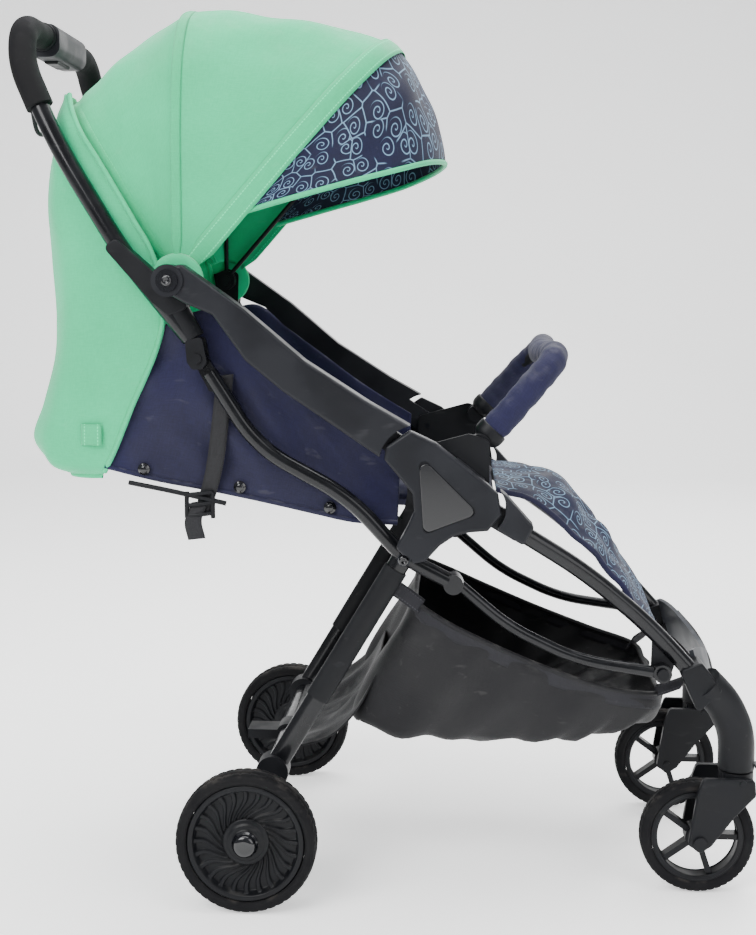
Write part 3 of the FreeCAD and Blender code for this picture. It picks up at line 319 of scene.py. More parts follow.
def joined(name: str, surfaces: Sequence[Surface], shut: bool = False) -> bpy.types.Object:
    """One mesh of several surfaces: their points and faces are put end to end.

    Args:
        name: The piece's name.
        surfaces: The surfaces, in any order.
        shut: Whether open ends are closed with caps and faces turned outwards.

    Returns:
        The new object.
    """
    start = np.cumsum([0] + [surface.points.shape[0] * surface.points.shape[1] for surface in surfaces])
    faces = np.concatenate([surface.faces() + first for surface, first in zip(surfaces, start)])
    points = np.concatenate([surface.points.reshape(-1, 3) for surface in surfaces])
    flat = np.concatenate([surface.lengths().reshape(-1, 2) for surface in surfaces])
    mesh = bpy.data.meshes.new(name)
    mesh.from_pydata(points, [], faces.tolist())
    layer = mesh.uv_layers.new(name="pattern")
    layer.data.foreach_set("uv", flat[faces.reshape(-1)].reshape(-1))
    piece = bpy.data.objects.new(name, mesh)
    bpy.context.collection.objects.link(piece)
    if shut:
        fix_normals(piece)
    mesh.polygons.foreach_set("use_smooth", np.full(len(mesh.polygons), True))
    mesh.update()
    return piece


# ---------------------------------------------------------------- shader node groups
class Graph:
    """A node tree with short calls for adding, joining and calculating."""

    def __init__(self, tree: bpy.types.NodeTree) -> None:
        """Keep the tree that nodes are added to."""
        self.tree = tree

    def add(self, kind: str, **settings: object) -> bpy.types.Node:
        """A new node with its properties set."""
        node = self.tree.nodes.new(kind)
        for key, value in settings.items():
            setattr(node, key, value)
        return node

    def feed(self, socket: bpy.types.NodeSocket, value: object) -> None:
        """Link a socket to another, or set its plain value."""
        if isinstance(value, bpy.types.NodeSocket):
            self.tree.links.new(value, socket)
        else:
            socket.default_value = value

    def sum(self, operation: str, *values: object) -> bpy.types.NodeSocket:
        """A Math node's result for one, two or three values."""
        node = self.add("ShaderNodeMath", operation=operation)
        for socket, value in zip(node.inputs, values):
            self.feed(socket, value)
        return node.outputs[0]

    def vector(self, operation: str, *values: object) -> bpy.types.Node:
        """A Vector Math node for one or two vectors."""
        node = self.add("ShaderNodeVectorMath", operation=operation)
        for socket, value in zip(node.inputs, values):
            self.feed(socket, value)
        return node

    def noise(self, place: object, scale: object, detail: float = 3.0) -> bpy.types.NodeSocket:
        """A noise texture's value."""
        node = self.add("ShaderNodeTexNoise")
        self.feed(node.inputs["Vector"], place)
        self.feed(node.inputs["Scale"], scale)
        node.inputs["Detail"].default_value = detail
        return node.outputs["Fac"]

    def ramp(self, value: object, low: float, high: float, first: float = 0.0,
             last: float = 1.0) -> bpy.types.NodeSocket:
        """A value carried smoothly from one range to another and held at its ends."""
        node = self.add("ShaderNodeMapRange", interpolation_type="SMOOTHSTEP")
        for socket, number in zip(node.inputs, (value, low, high, first, last)):
            self.feed(socket, number)
        return node.outputs[0]

    def mix(self, share: object, first: object, second: object) -> bpy.types.NodeSocket:
        """Two colours mixed."""
        node = self.add("ShaderNodeMix", data_type="RGBA")
        self.feed(node.inputs[0], share)
        self.feed(node.inputs[6], first)
        self.feed(node.inputs[7], second)
        return node.outputs[2]


class Groups:
    """The effects that several finishes share, each built once."""

    made: dict[str, bpy.types.NodeTree] = {}

    @classmethod
    def start(cls, name: str, inputs: dict[str, str], outputs: dict[str, str]
              ) -> tuple[Graph, bpy.types.NodeOutputs, bpy.types.NodeInputs]:
        """An empty group with its sockets.

        Args:
            name: The group's name.
            inputs: Socket names and kinds that go in.
            outputs: Socket names and kinds that come out.

        Returns:
            Its graph, and the sockets to read from and write to.
        """
        tree = bpy.data.node_groups.new(name, "ShaderNodeTree")
        for label, kind in inputs.items():
            tree.interface.new_socket(name=label, in_out="INPUT", socket_type="NodeSocket" + kind)
        for label, kind in outputs.items():
            tree.interface.new_socket(name=label, in_out="OUTPUT", socket_type="NodeSocket" + kind)
        cls.made[name] = tree
        graph = Graph(tree)
        return graph, graph.add("NodeGroupInput").outputs, graph.add("NodeGroupOutput").inputs

    @classmethod
    def fine_grain(cls) -> None:
        """Pebbled grain with broad patches: two noises, one fine and one sixty times coarser."""
        graph, given, out = cls.start("fine_grain", {"Place": "Vector", "Scale": "Float"},
                                      {"Height": "Float", "Patch": "Float"})
        graph.feed(out["Height"], graph.noise(given["Place"], given["Scale"], 4.0))
        broad = graph.sum("DIVIDE", given["Scale"], 60.0)
        graph.feed(out["Patch"], graph.ramp(graph.noise(given["Place"], broad, 3.0), 0.32, 0.68))

    @classmethod
    def dust_and_rub(cls) -> None:
        """Pale dust where a face looks up and rubbed streaks: noise masks over the base colour."""
        graph, given, out = cls.start(
            "dust_and_rub", {"Place": "Vector", "Base": "Color", "Dust": "Color", "Amount": "Float"},
            {"Color": "Color", "Mask": "Float"})
        normal = graph.add("ShaderNodeSeparateXYZ")
        graph.feed(normal.inputs[0], graph.add("ShaderNodeNewGeometry").outputs["Normal"])
        upward = graph.ramp(normal.outputs[2], 0.2, 1.0)
        speck = graph.ramp(graph.noise(given["Place"], 55.0, 6.0), 0.46, 0.66)
        stretch = graph.vector("MULTIPLY", given["Place"], (30.0, 220.0, 90.0)).outputs[0]
        streak = graph.ramp(graph.noise(stretch, 1.0, 2.0), 0.64, 0.78)
        both = graph.sum("MAXIMUM", graph.sum("MULTIPLY", upward, speck), graph.sum("MULTIPLY", streak, 0.45))
        mask = graph.sum("MULTIPLY", both, given["Amount"])
        graph.feed(out["Color"], graph.mix(mask, given["Base"], given["Dust"]))
        graph.feed(out["Mask"], mask)

    @classmethod
    def weave(cls) -> None:
        """Plain weave: crossed sine ridges of one thread pitch, broken up by slubs."""
        graph, given, out = cls.start("weave", {"Flat": "Vector", "Pitch": "Float"},
                                      {"Height": "Float", "Slub": "Float"})
        parts = graph.add("ShaderNodeSeparateXYZ")
        graph.feed(parts.inputs[0], given["Flat"])
        turns = [graph.sum("SINE", graph.sum("MULTIPLY", graph.sum("DIVIDE", parts.outputs[axis],
                                                                     given["Pitch"]), math.tau))
                 for axis in (0, 1)]
        crossed = graph.sum("MULTIPLY", turns[0], turns[1])
        depth = graph.sum("MULTIPLY", parts.outputs[2], 900.0)
        graph.feed(out["Height"], graph.sum("MULTIPLY_ADD", graph.sum("SINE", depth), 0.1, crossed))
        stretch = graph.vector("MULTIPLY", given["Flat"], (90.0, 700.0, 300.0)).outputs[0]
        other = graph.vector("MULTIPLY", given["Flat"], (700.0, 90.0, 300.0)).outputs[0]
        slub = graph.sum("ADD", graph.noise(stretch, 1.0, 2.0), graph.noise(other, 1.0, 2.0))
        graph.feed(out["Slub"], graph.ramp(slub, 0.7, 1.3))

    @classmethod
    def scrolls(cls) -> None:
        """Curling vines: in each Voronoi cell a spiral line, joined by thin lines at the borders."""
        graph, given, out = cls.start("scrolls", {"Flat": "Vector", "Scale": "Float"}, {"Mask": "Float"})
        bend = graph.add("ShaderNodeTexNoise")
        graph.feed(bend.inputs["Vector"], given["Flat"])
        bend.inputs["Scale"].default_value = 9.0
        shift = graph.vector("MULTIPLY", graph.vector("SUBTRACT", bend.outputs["Color"],
                                                      (0.5, 0.5, 0.5)).outputs[0], (0.03, 0.03, 0.0))
        place = graph.vector("MULTIPLY", graph.vector("ADD", given["Flat"], shift.outputs[0]).outputs[0],
                             (1.0, 1.0, 0.0))
        cells = graph.add("ShaderNodeTexVoronoi", voronoi_dimensions="2D")
        graph.feed(cells.inputs["Vector"], place.outputs[0])
        graph.feed(cells.inputs["Scale"], given["Scale"])
        cells.inputs["Randomness"].default_value = 0.7
        away = graph.vector("SUBTRACT", place.outputs[0], cells.outputs["Position"])
        parts = graph.add("ShaderNodeSeparateXYZ")
        graph.feed(parts.inputs[0], away.outputs[0])
        angle = graph.sum("DIVIDE", graph.sum("ARCTAN2", parts.outputs[1], parts.outputs[0]), math.tau)
        reach = cells.outputs["Distance"]
        turn = graph.sum("FRACT", graph.sum("ADD", graph.sum("MULTIPLY_ADD", reach, 4.4, angle), 8.0))
        line = graph.ramp(graph.sum("ABSOLUTE", graph.sum("SUBTRACT", turn, 0.5)), 0.07, 0.13, 1.0, 0.0)
        inner = graph.ramp(reach, 0.36, 0.42, 1.0, 0.0)
        curl = graph.sum("MULTIPLY", line, inner)
        border = graph.add("ShaderNodeTexVoronoi", voronoi_dimensions="2D", feature="DISTANCE_TO_EDGE")
        graph.feed(border.inputs["Vector"], place.outputs[0])
        graph.feed(border.inputs["Scale"], given["Scale"])
        border.inputs["Randomness"].default_value = 0.7
        vine = graph.ramp(border.outputs["Distance"], 0.012, 0.038, 1.0, 0.0)
        gate = graph.ramp(graph.noise(place.outputs[0], 22.0, 1.0), 0.44, 0.5)
        graph.feed(out["Mask"], graph.sum("MAXIMUM", curl, graph.sum("MULTIPLY", vine, gate)))

    @classmethod
    def stitches(cls) -> None:
        """Two rows of short stitches: dashes along the flat pattern at one offset each side."""
        graph, given, out = cls.start("stitches", {"Flat": "Vector", "Offset": "Float"}, {"Mask": "Float"})
        parts = graph.add("ShaderNodeSeparateXYZ")
        graph.feed(parts.inputs[0], given["Flat"])
        off = graph.sum("ABSOLUTE", graph.sum("SUBTRACT", graph.sum("ABSOLUTE", parts.outputs[0]),
                                               given["Offset"]))
        row = graph.ramp(off, 0.0004, 0.0009, 1.0, 0.0)
        stitch_step = graph.sum("FRACT", graph.sum("MULTIPLY", parts.outputs[1], 240.0))
        dash = graph.sum("LESS_THAN", stitch_step, 0.66)
        graph.feed(out["Mask"], graph.sum("MULTIPLY", row, dash))

    @classmethod
    def build(cls) -> None:
        """Build every group."""
        for maker in (cls.fine_grain, cls.dust_and_rub, cls.weave, cls.scrolls, cls.stitches):
            maker()


def shade(red: float, green: float, blue: float) -> tuple[float, float, float, float]:
    """A linear colour from its 0 to 255 screen values, by the power-law curve."""
    return tuple(((part / 255 + 0.055) / 1.055) ** 2.4 if part > 10 else part / 255 / 12.92
                 for part in (red, green, blue)) + (1.0,)


def new_material(name: str) -> tuple[bpy.types.Material, Graph, bpy.types.Node]:
    """An empty node material with its Principled shader."""
    material = bpy.data.materials.new(name)
    material.use_nodes = True
    material.node_tree.nodes.clear()
    graph = Graph(material.node_tree)
    shader = graph.add("ShaderNodeBsdfPrincipled")
    graph.feed(graph.add("ShaderNodeOutputMaterial").inputs["Surface"], shader.outputs[0])
    return material, graph, shader


def use_group(graph: Graph, name: str, **values: object) -> bpy.types.Node:
    """A group placed in a material, with its inputs fed."""
    node = graph.add("ShaderNodeGroup", node_tree=Groups.made[name])
    for label, value in values.items():
        graph.feed(node.inputs[label], value)
    return node


@dataclass(frozen=True)
class Cloth:
    """Woven cloth: two tones, thread pitch in metres, sheen, and what is printed or sewn on it."""

    name: str
    light: tuple[float, float, float, float]
    dark: tuple[float, float, float, float]
    pitch: float = 0.0011
    sheen: float = 0.25
    roughness: float = 0.82
    depth: float = 0.25
    by_pattern: bool = True
    scroll: tuple[float, float, float, float] | None = None
    stitch_offset: float | None = None

    def material(self) -> bpy.types.Material:
        """Weave and slubs in colour and bump, then scrolls or stitches where the cloth has them."""
        material, graph, shader = new_material(self.name)
        where = graph.add("ShaderNodeTexCoord")
        place = where.outputs["Object"]
        flat = where.outputs["UV"] if self.by_pattern else place
        woven = use_group(graph, "weave", Flat=flat, Pitch=self.pitch)
        grain = use_group(graph, "fine_grain", Place=place, Scale=520.0)
        tone = graph.sum("ADD", graph.sum("MULTIPLY", woven.outputs["Slub"], 0.45),
                         graph.sum("MULTIPLY", grain.outputs["Patch"], 0.55))
        colour = graph.mix(tone, self.dark, self.light)
        height = graph.sum("MULTIPLY_ADD", woven.outputs["Height"], 0.35, woven.outputs["Slub"])
        if self.scroll is not None:
            curls = use_group(graph, "scrolls", Flat=flat, Scale=38.0).outputs["Mask"]
            colour = graph.mix(graph.sum("MULTIPLY", curls, 0.7), colour, self.scroll)
            height = graph.sum("MULTIPLY_ADD", curls, 0.5, height)
        if self.stitch_offset is not None:
            thread = use_group(graph, "stitches", Flat=flat, Offset=self.stitch_offset).outputs["Mask"]
            colour = graph.mix(graph.sum("MULTIPLY", thread, 0.7), colour, tuple(
                min(1.0, part * 1.7 + 0.02) for part in self.light[:3]) + (1.0,))
            height = graph.sum("MULTIPLY_ADD", thread, 1.5, height)
        dusty = use_group(graph, "dust_and_rub", Place=place, Base=colour, Dust=shade(205, 205, 200),
                          Amount=0.05)
        bump = graph.add("ShaderNodeBump")
        bump.inputs["Strength"].default_value = self.depth
        bump.inputs["Distance"].default_value = 0.0004
        graph.feed(bump.inputs["Height"], height)
        graph.feed(shader.inputs["Base Color"], dusty.outputs["Color"])
        graph.feed(shader.inputs["Normal"], bump.outputs[0])
        graph.feed(shader.inputs["Roughness"], graph.ramp(grain.outputs["Patch"], 0.0, 1.0,
                                                          self.roughness - 0.08, self.roughness + 0.06))
        shader.inputs["Sheen Weight"].default_value = self.sheen
        shader.inputs["Sheen Roughness"].default_value = 0.45
        shader.inputs["Specular IOR Level"].default_value = 0.3
        return material


@dataclass(frozen=True)
class Hard:
    """Plastic, rubber or metal: a colour, its grain, gloss, and how dust and rubbing show."""

    name: str
    colour: tuple[float, float, float, float]
    dust: tuple[float, float, float, float]
    grain: float = 900.0
    depth: float = 0.12
    smooth: float = 0.35
    rough: float = 0.5
    metallic: float = 0.0
    coat: float = 0.0
    amount: float = 0.12

    def material(self) -> bpy.types.Material:
        """Grain drives bump and roughness, broad patches shift the tone, and dust lies on top."""
        material, graph, shader = new_material(self.name)
        place = graph.add("ShaderNodeTexCoord").outputs["Object"]
        grain = use_group(graph, "fine_grain", Place=place, Scale=self.grain)
        deep = tuple(part * 0.72 for part in self.colour[:3]) + (1.0,)
        tone = graph.mix(grain.outputs["Patch"], deep, self.colour)
        dusty = use_group(graph, "dust_and_rub", Place=place, Base=tone, Dust=self.dust, Amount=self.amount)
        bump = graph.add("ShaderNodeBump")
        bump.inputs["Strength"].default_value = self.depth
        bump.inputs["Distance"].default_value = 0.0003
        graph.feed(bump.inputs["Height"], grain.outputs["Height"])
        graph.feed(shader.inputs["Base Color"], dusty.outputs["Color"])
        graph.feed(shader.inputs["Normal"], bump.outputs[0])
        worn = graph.ramp(grain.outputs["Patch"], 0.0, 1.0, self.smooth, self.rough)
        graph.feed(shader.inputs["Roughness"], graph.sum("MULTIPLY_ADD", dusty.outputs["Mask"], 0.4, worn))
        shader.inputs["Metallic"].default_value = self.metallic
        shader.inputs["Specular IOR Level"].default_value = 0.15
        shader.inputs["Coat Weight"].default_value = self.coat
        shader.inputs["Coat Roughness"].default_value = 0.12
        return material


BLACK = shade(22, 22, 26)
FINISHES: dict[str, Cloth | Hard] = {
    "mint": Cloth("mint_canvas", shade(30, 186, 128), shade(20, 168, 112)),
    "mint_band": Cloth("mint_stitched_band", shade(28, 180, 122), shade(18, 162, 106), stitch_offset=0.0085),
    "navy": Cloth("navy_canvas", shade(24, 24, 56), shade(15, 15, 38), sheen=0.07),
    "navy_pad": Cloth("navy_pad_canvas", shade(24, 24, 56), shade(15, 15, 38), sheen=0.07, by_pattern=False),
    "scroll": Cloth("navy_scroll_canvas", shade(18, 22, 50), shade(12, 14, 36), sheen=0.06,
                    scroll=shade(120, 156, 184)),
    "black": Cloth("black_nylon", shade(12, 12, 16), shade(6, 6, 9), sheen=0.02, roughness=0.62),
    "black_band": Cloth("black_stitched_hem", shade(26, 26, 32), shade(13, 13, 18), sheen=0.05,
                        roughness=0.66, stitch_offset=0.007),
    "webbing": Cloth("black_webbing", shade(26, 26, 30), shade(12, 12, 15), pitch=0.0018, sheen=0.05,
                     depth=0.5, roughness=0.7),
    "foam": Hard("grip_foam", shade(17, 17, 19), shade(90, 90, 93), 1500.0, 0.6, 0.75, 0.92),
    "tube": Hard("satin_black_tube", shade(14, 15, 18), shade(105, 105, 108), 1400.0, 0.06, 0.24, 0.36,
                 0.25, 0.35, 0.10),
    "moulding": Hard("black_moulding", shade(18, 19, 22), shade(105, 105, 106), 1100.0, 0.22, 0.42, 0.58),
    "grey": Hard("dark_grey_plastic", shade(27, 28, 32), shade(110, 110, 114), 1000.0, 0.2, 0.36, 0.52),
    "gloss": Hard("gloss_black_cap", shade(12, 13, 17), shade(100, 100, 104), 600.0, 0.03, 0.08, 0.2,
                  0.0, 0.8, 0.06),
    "pale": Hard("pale_grey_plastic", shade(52, 54, 59), shade(130, 130, 131), 900.0, 0.15, 0.36, 0.5),
    "steel": Hard("black_plated_steel", shade(50, 52, 56), shade(100, 100, 99), 800.0, 0.06, 0.22, 0.4, 1.0),
    "tyre": Hard("foam_rubber_tyre", shade(17, 17, 19), shade(84, 80, 76), 1300.0, 0.5, 0.7, 0.92,
                 amount=0.3),
    "rim": Hard("black_rim", shade(16, 17, 20), shade(92, 91, 88), 1000.0, 0.14, 0.3, 0.46, amount=0.18),
}
SLOT_FINISH = {
    "frame_tube": "tube", "moulding": "moulding", "grey_plastic": "grey", "gloss_cap": "gloss",
    "pale_plastic": "pale", "steel": "steel", "grip_foam": "foam", "mint_cloth": "mint",
    "navy_cloth": "navy_pad", "navy_pattern_cloth": "scroll", "black_cloth": "black",
    "webbing": "webbing", "tyre": "tyre", "rim": "rim",
}


class Wardrobe:
    """Makes each finish once and hands it to pieces."""

    made: dict[str, bpy.types.Material] = {}

    @classmethod
    def get(cls, key: str) -> bpy.types.Material:
        """The material of one finish."""
        if key not in cls.made:
            cls.made[key] = FINISHES[key].material()
        return cls.made[key]

    @classmethod
    def dress_frame(cls) -> None:
        """Give every carried-over CAD node the finish of its material slot."""
        for row in frame["record"]["subparts"]:
            node = frame["nodes"][row["node"]]
            material = cls.get(SLOT_FINISH[row["material_slot"]])
            node.data.materials.clear()
            node.data.materials.append(material)


def finish_piece(piece: bpy.types.Object, key: str, body: str = "",
                 bend: tuple[str, str, Array, Array] | None = None, stands_for: Sequence[str] = (),
                 crush: tuple[Array, Array, float] | None = None) -> bpy.types.Object:
    """Dress a piece, attach it or bake its place into its mesh, and hide what it stands for.

    Args:
        piece: The new piece.
        key: Its finish.
        body: The body that it is attached to, if no bend is given.
        bend: Two bodies and two points; when given, the piece's place is baked into its mesh instead of attaching
            it.
        stands_for: CAD nodes that it replaces.
        crush: An axis, an anchor and a share; when given, the piece gets its own copy of its mesh.

    Returns:
        The same piece.
    """
    piece.data.materials.append(Wardrobe.get(key))
    if stands_for:
        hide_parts(*stands_for)
    if bend is not None:
        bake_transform(piece)
    else:
        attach(piece, body)
    if crush is not None:
        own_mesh(piece)
    log.info("%s: %d faces", piece.name, len(piece.data.polygons))
    return piece


PIVOT = (-88.0, 754.0)


def swung(reach: float, angle: float, across: float) -> tuple[float, float, float]:
    """A place at a reach and angle in degrees from the hood's pivot."""
    turn = math.radians(angle)
    return (PIVOT[0] + reach * math.cos(turn), across, PIVOT[1] + reach * math.sin(turn))


@dataclass
class Hood:
    """The canopy: back panel, front panel and peak over two wire bows, with bands and bindings."""

    samples: int = 161
    back: tuple[float, float, float] = (276.0, 123.0, 152.0)
    middle: tuple[float, float, float] = (341.0, 90.0, 171.0)
    front: tuple[float, float, float] = (393.0, 49.0, 169.0)
    wall: float = 0.0016

    def bow_line(self, reach: float, angle: float, side: float, base: float = 27.0) -> Array:
        """One bow's arch from the right base over the crown to the left base, as a smooth line."""
        half = [(base, side), (0.3 * reach, side + 2), (0.58 * reach, side), (0.8 * reach, side - 17),
                (0.925 * reach, side - 50), (0.985 * reach, side - 96), (reach, 0.0)]
        right = [swung(r, angle, -y) for r, y in half]
        left = [swung(r, angle, y) for r, y in reversed(half[:-1])]
        return smooth_line(spots(*(right + left)), self.samples)

    def polar(self, line: Array) -> tuple[Array, Array, Array]:
        """A line's reach and angle about the pivot, and its distance across."""
        x, z = line[:, 0] - (AXLE_X + PIVOT[0] * MM), line[:, 2] - PIVOT[1] * MM
        return np.hypot(x, z), np.arctan2(z, x), line[:, 1]

    def fan(self, first: Array, last: Array, rows: int, sag: float, seed: int) -> Surface:
        """Cloth from one arch to another: reach and angle run evenly, less a sag between them.

        Args:
            first: The first arch.
            last: The last arch.
            rows: Rows of the grid.
            sag: Depth of the hollow halfway, in metres.
            seed: Picks the creases.

        Returns:
            The cloth's surface.
        """
        r0, a0, y0 = self.polar(first)
        r1, a1, y1 = self.polar(last)
        v, u = unit_grid(rows, len(first))
        lift = np.minimum(1.0, 3.2 * np.minimum(u, 1 - u))
        hollow = sag * np.sin(np.pi * v) * lift
        crease = 0.0022 * np.sin(np.pi * v) ** 0.7 * ripple(u * 3.2, v * 0.9, seed, low=1.0, high=3.4) * lift
        reach = r0 * (1 - v) + r1 * v - hollow + crease
        angle = a0 * (1 - v) + a1 * v
        across = (y0 * (1 - v) + y1 * v) * (1 - 0.055 * np.sin(np.pi * v) * lift * (sag > 0))
        across = across + 0.4 * crease * np.sign(across)
        return Surface(np.stack([AXLE_X + PIVOT[0] * MM + reach * np.cos(angle), across,
                                 PIVOT[1] * MM + reach * np.sin(angle)], axis=-1))

    def fold(self, first: str, last: str, angle: float, half: float) -> tuple[str, str, Array, Array]:
        """Two bodies and the two ends of a short line through the pivot at one angle."""
        turn = math.radians(angle)
        along = np.array([math.sin(turn), 0.0, -math.cos(turn)]) * half
        centre = spot(PIVOT[0], 0.0, PIVOT[1])
        return (first, last, centre - along, centre + along)

    def band(self, name: str, line: Array, width: float, lean: float, body: str, lift: float = 0.0016
             ) -> bpy.types.Object:
        """A stitched band laid over a bow: a ribbon carried along the arch just outside the cloth."""
        reach, angle, across = self.polar(line)
        share = np.linspace(-0.5, 0.5, 7)[None, :]
        crown = lift * (1 - (2 * share) ** 2) + 0.0009
        r = (reach[:, None] + crown) + lean * share
        spread = np.minimum(width / np.maximum(reach, 0.05), 0.5)
        a = angle[:, None] + spread[:, None] * share
        y = across[:, None] + (crown * np.sign(across)[:, None]) * np.clip(
            np.abs(across)[:, None] / 0.12, 0, 1)
        centre = spot(PIVOT[0], 0.0, PIVOT[1])
        surface = Surface(np.stack([centre[0] + r * np.cos(a), y, centre[2] + r * np.sin(a)], axis=-1))
        piece = surface.build(name)
        thicken(piece, 0.001)
        self.fair(surface)
        return finish_piece(piece, "mint_band", body)

    def fair(self, surface: Surface) -> float:
        """A cut's flat area, kept within what its width times its length allows."""
        width, length = surface.flat_size()
        return float(np.clip(surface.area(), 0.31 * width * length, width * length))

    def cloth(self, name: str, surface: Surface, key: str, slot: Slot, bend: tuple[str, str, Array, Array],
              node: str, rests: str) -> bpy.types.Object:
        """A walled sheet over the bows, dressed, with its place baked into its mesh."""
        piece = surface.build(name)
        thicken(piece, self.wall)
        self.fair(surface)
        return finish_piece(piece, key, bend=bend, stands_for=[node])

    def peak_edge(self, bow: Array) -> tuple[Array, Array]:
        """The part of the front arch that the peak joins, and the peak's own free edge."""
        reach = self.polar(bow)[0]
        keep = np.nonzero(reach > 0.108)[0]
        joined_line = smooth_line(bow[keep[0]:keep[-1] + 1:6], self.samples)
        half = [(-15, 834, 168), (52, 853, 167), (118, 871, 163), (172, 886, 145), (208, 898, 108),
                (226, 904, 56), (232, 906, 0)]
        right = [(x, -y, z) for x, z, y in half]
        left = [(x, y, z) for x, z, y in reversed(half[:-1])]
        return joined_line, smooth_line(spots(*(right + left)), self.samples)

    def build(self) -> None:
        """All the hood's cloth, bands and bindings."""
        back, middle, front = (self.bow_line(*size) for size in (self.back, self.middle, self.front))
        self.cloth("hood_back_cloth", self.fan(back, middle, 34, 0.006, 3), "mint", Slot.MINT,
                   self.fold("handle_frame", "hood_mid", 106.0, 0.03), "hood_back_panel", "hood_mid_bow")
        self.cloth("hood_front_cloth", self.fan(middle, front, 46, 0.011, 5), "mint", Slot.MINT,
                   self.fold("hood_mid", "hood_front", 69.5, 0.042), "hood_front_panel", "hood_front_bow")
        top, edge = self.peak_edge(front)
        peak = self.fan(top, edge, 30, -0.004, 8)
        self.cloth("hood_peak_cloth", peak, "scroll", Slot.PATTERN,
                   self.fold("hood_front", "visor", 38.0, 0.03), "hood_visor", "hood_front_bow")
        self.band("hood_front_band", front, 0.026, 0.0, "hood_front")
        self.band("hood_middle_seam", middle, 0.012, 0.0, "hood_mid", 0.0009)
        self.band("hood_back_hem", back, 0.016, 0.0, "handle_frame", 0.0009)
        hem = tube_surface(edge, 0.0034, 12, (0.0, 0.3, 1.0)).build("hood_peak_binding")
        finish_piece(hem, "mint", "visor")
        for side in Side:
            self.pivot_patch(side)

    def pivot_patch(self, side: Side) -> None:
        """The rounded cloth corner round the pivot: a shallow dished disc with a bound rim."""
        y = side.value * 0.1735
        profile = np.array([(0.010, 0.0), (0.016, 0.0012), (0.025, 0.0016), (0.031, 0.0008),
                            (0.033, -0.0012), (0.031, -0.0024), (0.016, -0.001), (0.010, -0.001)])
        centre = spot(PIVOT[0], 0.0, PIVOT[1]) + np.array([0.0, y, 0.0])
        patch = spun_surface(profile, centre, side.value, 72)
        patch.closed_rows = True
        piece = joined(f"hood_pivot_patch_{side.name.lower()}", [patch], True)
        finish_piece(piece, "mint", "handle_frame")


@dataclass
class BackFlap:
    """The mint panel that wraps the back of the seat between the handle tubes."""

    samples: int = 91

    def section(self, front: float, rear: float, z: float, side: float, corner: float, drop: float = 0.0
                ) -> Array:
        """One level line: from the right front edge round the back to the left front edge."""
        half = [(front, side, z + drop), (front * 0.6 + rear * 0.4, side - 1, z + drop * 0.5),
                (front * 0.2 + rear * 0.8, side - 13, z), (rear + 6, corner, z), (rear, corner * 0.5, z),
                (rear - 1, 0, z)]
        right = [(x, -y, h) for x, y, h in half]
        left = [(x, y, h) for x, y, h in reversed(half[:-1])]
        return smooth_line(spots(*(right + left)), self.samples)

    def build(self) -> None:
        """The panel, its front bindings, its lower hem and the square patch low on its side."""
        rows = [self.section(-232, -243, 984, 118, 92), self.section(-214, -249, 945, 154, 122),
                self.section(-182, -256, 895, 166, 130), self.section(-146, -262, 836, 171, 131),
                self.section(-114, -262, 775, 171, 131), self.section(-106, -256, 705, 170, 131),
                self.section(-121, -254, 655, 169, 131),
                self.section(-146, -268, 600, 168, 132), self.section(-164, -284, 556, 167, 131),
                self.section(-178, -268, 527, 165, 124), self.section(-188, -238, 513, 150, 106)]
        grid = loft(rows, 96)
        v, u = unit_grid(*grid.shape[:2])
        pull = np.sin(np.pi * np.clip(v, 0, 1)) ** 0.5 * np.sin(np.pi * u) ** 0.5
        puff = 0.004 * ripple(u * 2.2, v * 1.4, 21, low=0.8, high=2.8) * pull
        grid = grid - outward(grid) * puff[..., None]
        surface = Surface(grid)
        piece = surface.build("back_flap_cloth")
        thicken(piece, 0.0018)
        width, length = surface.flat_size()
        float(np.clip(surface.area(), 0.31 * width * length, width * length))
        gather = (np.array([0.0, 0.0, 1.0]), spot(-200, 0, 820), 0.45)
        finish_piece(piece, "mint", "handle_frame", stands_for=["rear_flap"], crush=gather)
        for side, column in ((Side.RIGHT, 0), (Side.LEFT, -1)):
            edge = smooth_line(grid[::6, column], 120)
            name = f"back_flap_binding_{side.name.lower()}"
            finish_piece(tube_surface(edge, 0.0032, 12, (0.2, 1.0, 0.1)).build(name), "mint",
                         "handle_frame", crush=gather)
        hem = smooth_line(grid[-1, ::4], 120)
        finish_piece(tube_surface(hem, 0.0034, 12).build("back_flap_hem"), "mint", "handle_frame",
                     crush=gather)
        for side in Side:
            self.patch(side, gather)

    def patch(self, side: Side, gather: tuple[Array, Array, float]) -> None:
        """A small sewn square where the fastener behind is stitched."""
        v, u = unit_grid(9, 9)
        x, z = -196 + 26 * (u - 0.5), 566 + 26 * (v - 0.5)
        y = side.value * (171.5 + 0.8 * np.sin(np.pi * u) * np.sin(np.pi * v)) * np.ones_like(u)
        y = y - side.value * 0.16 * np.maximum(-(x + 190), 0)
        grid = np.stack([AXLE_X + x * MM, y * MM, z * MM], axis=-1)
        piece = Surface(grid).build(f"back_flap_patch_{side.name.lower()}")
        thicken(piece, 0.0012)
        finish_piece(piece, "mint_band", "handle_frame", crush=gather)


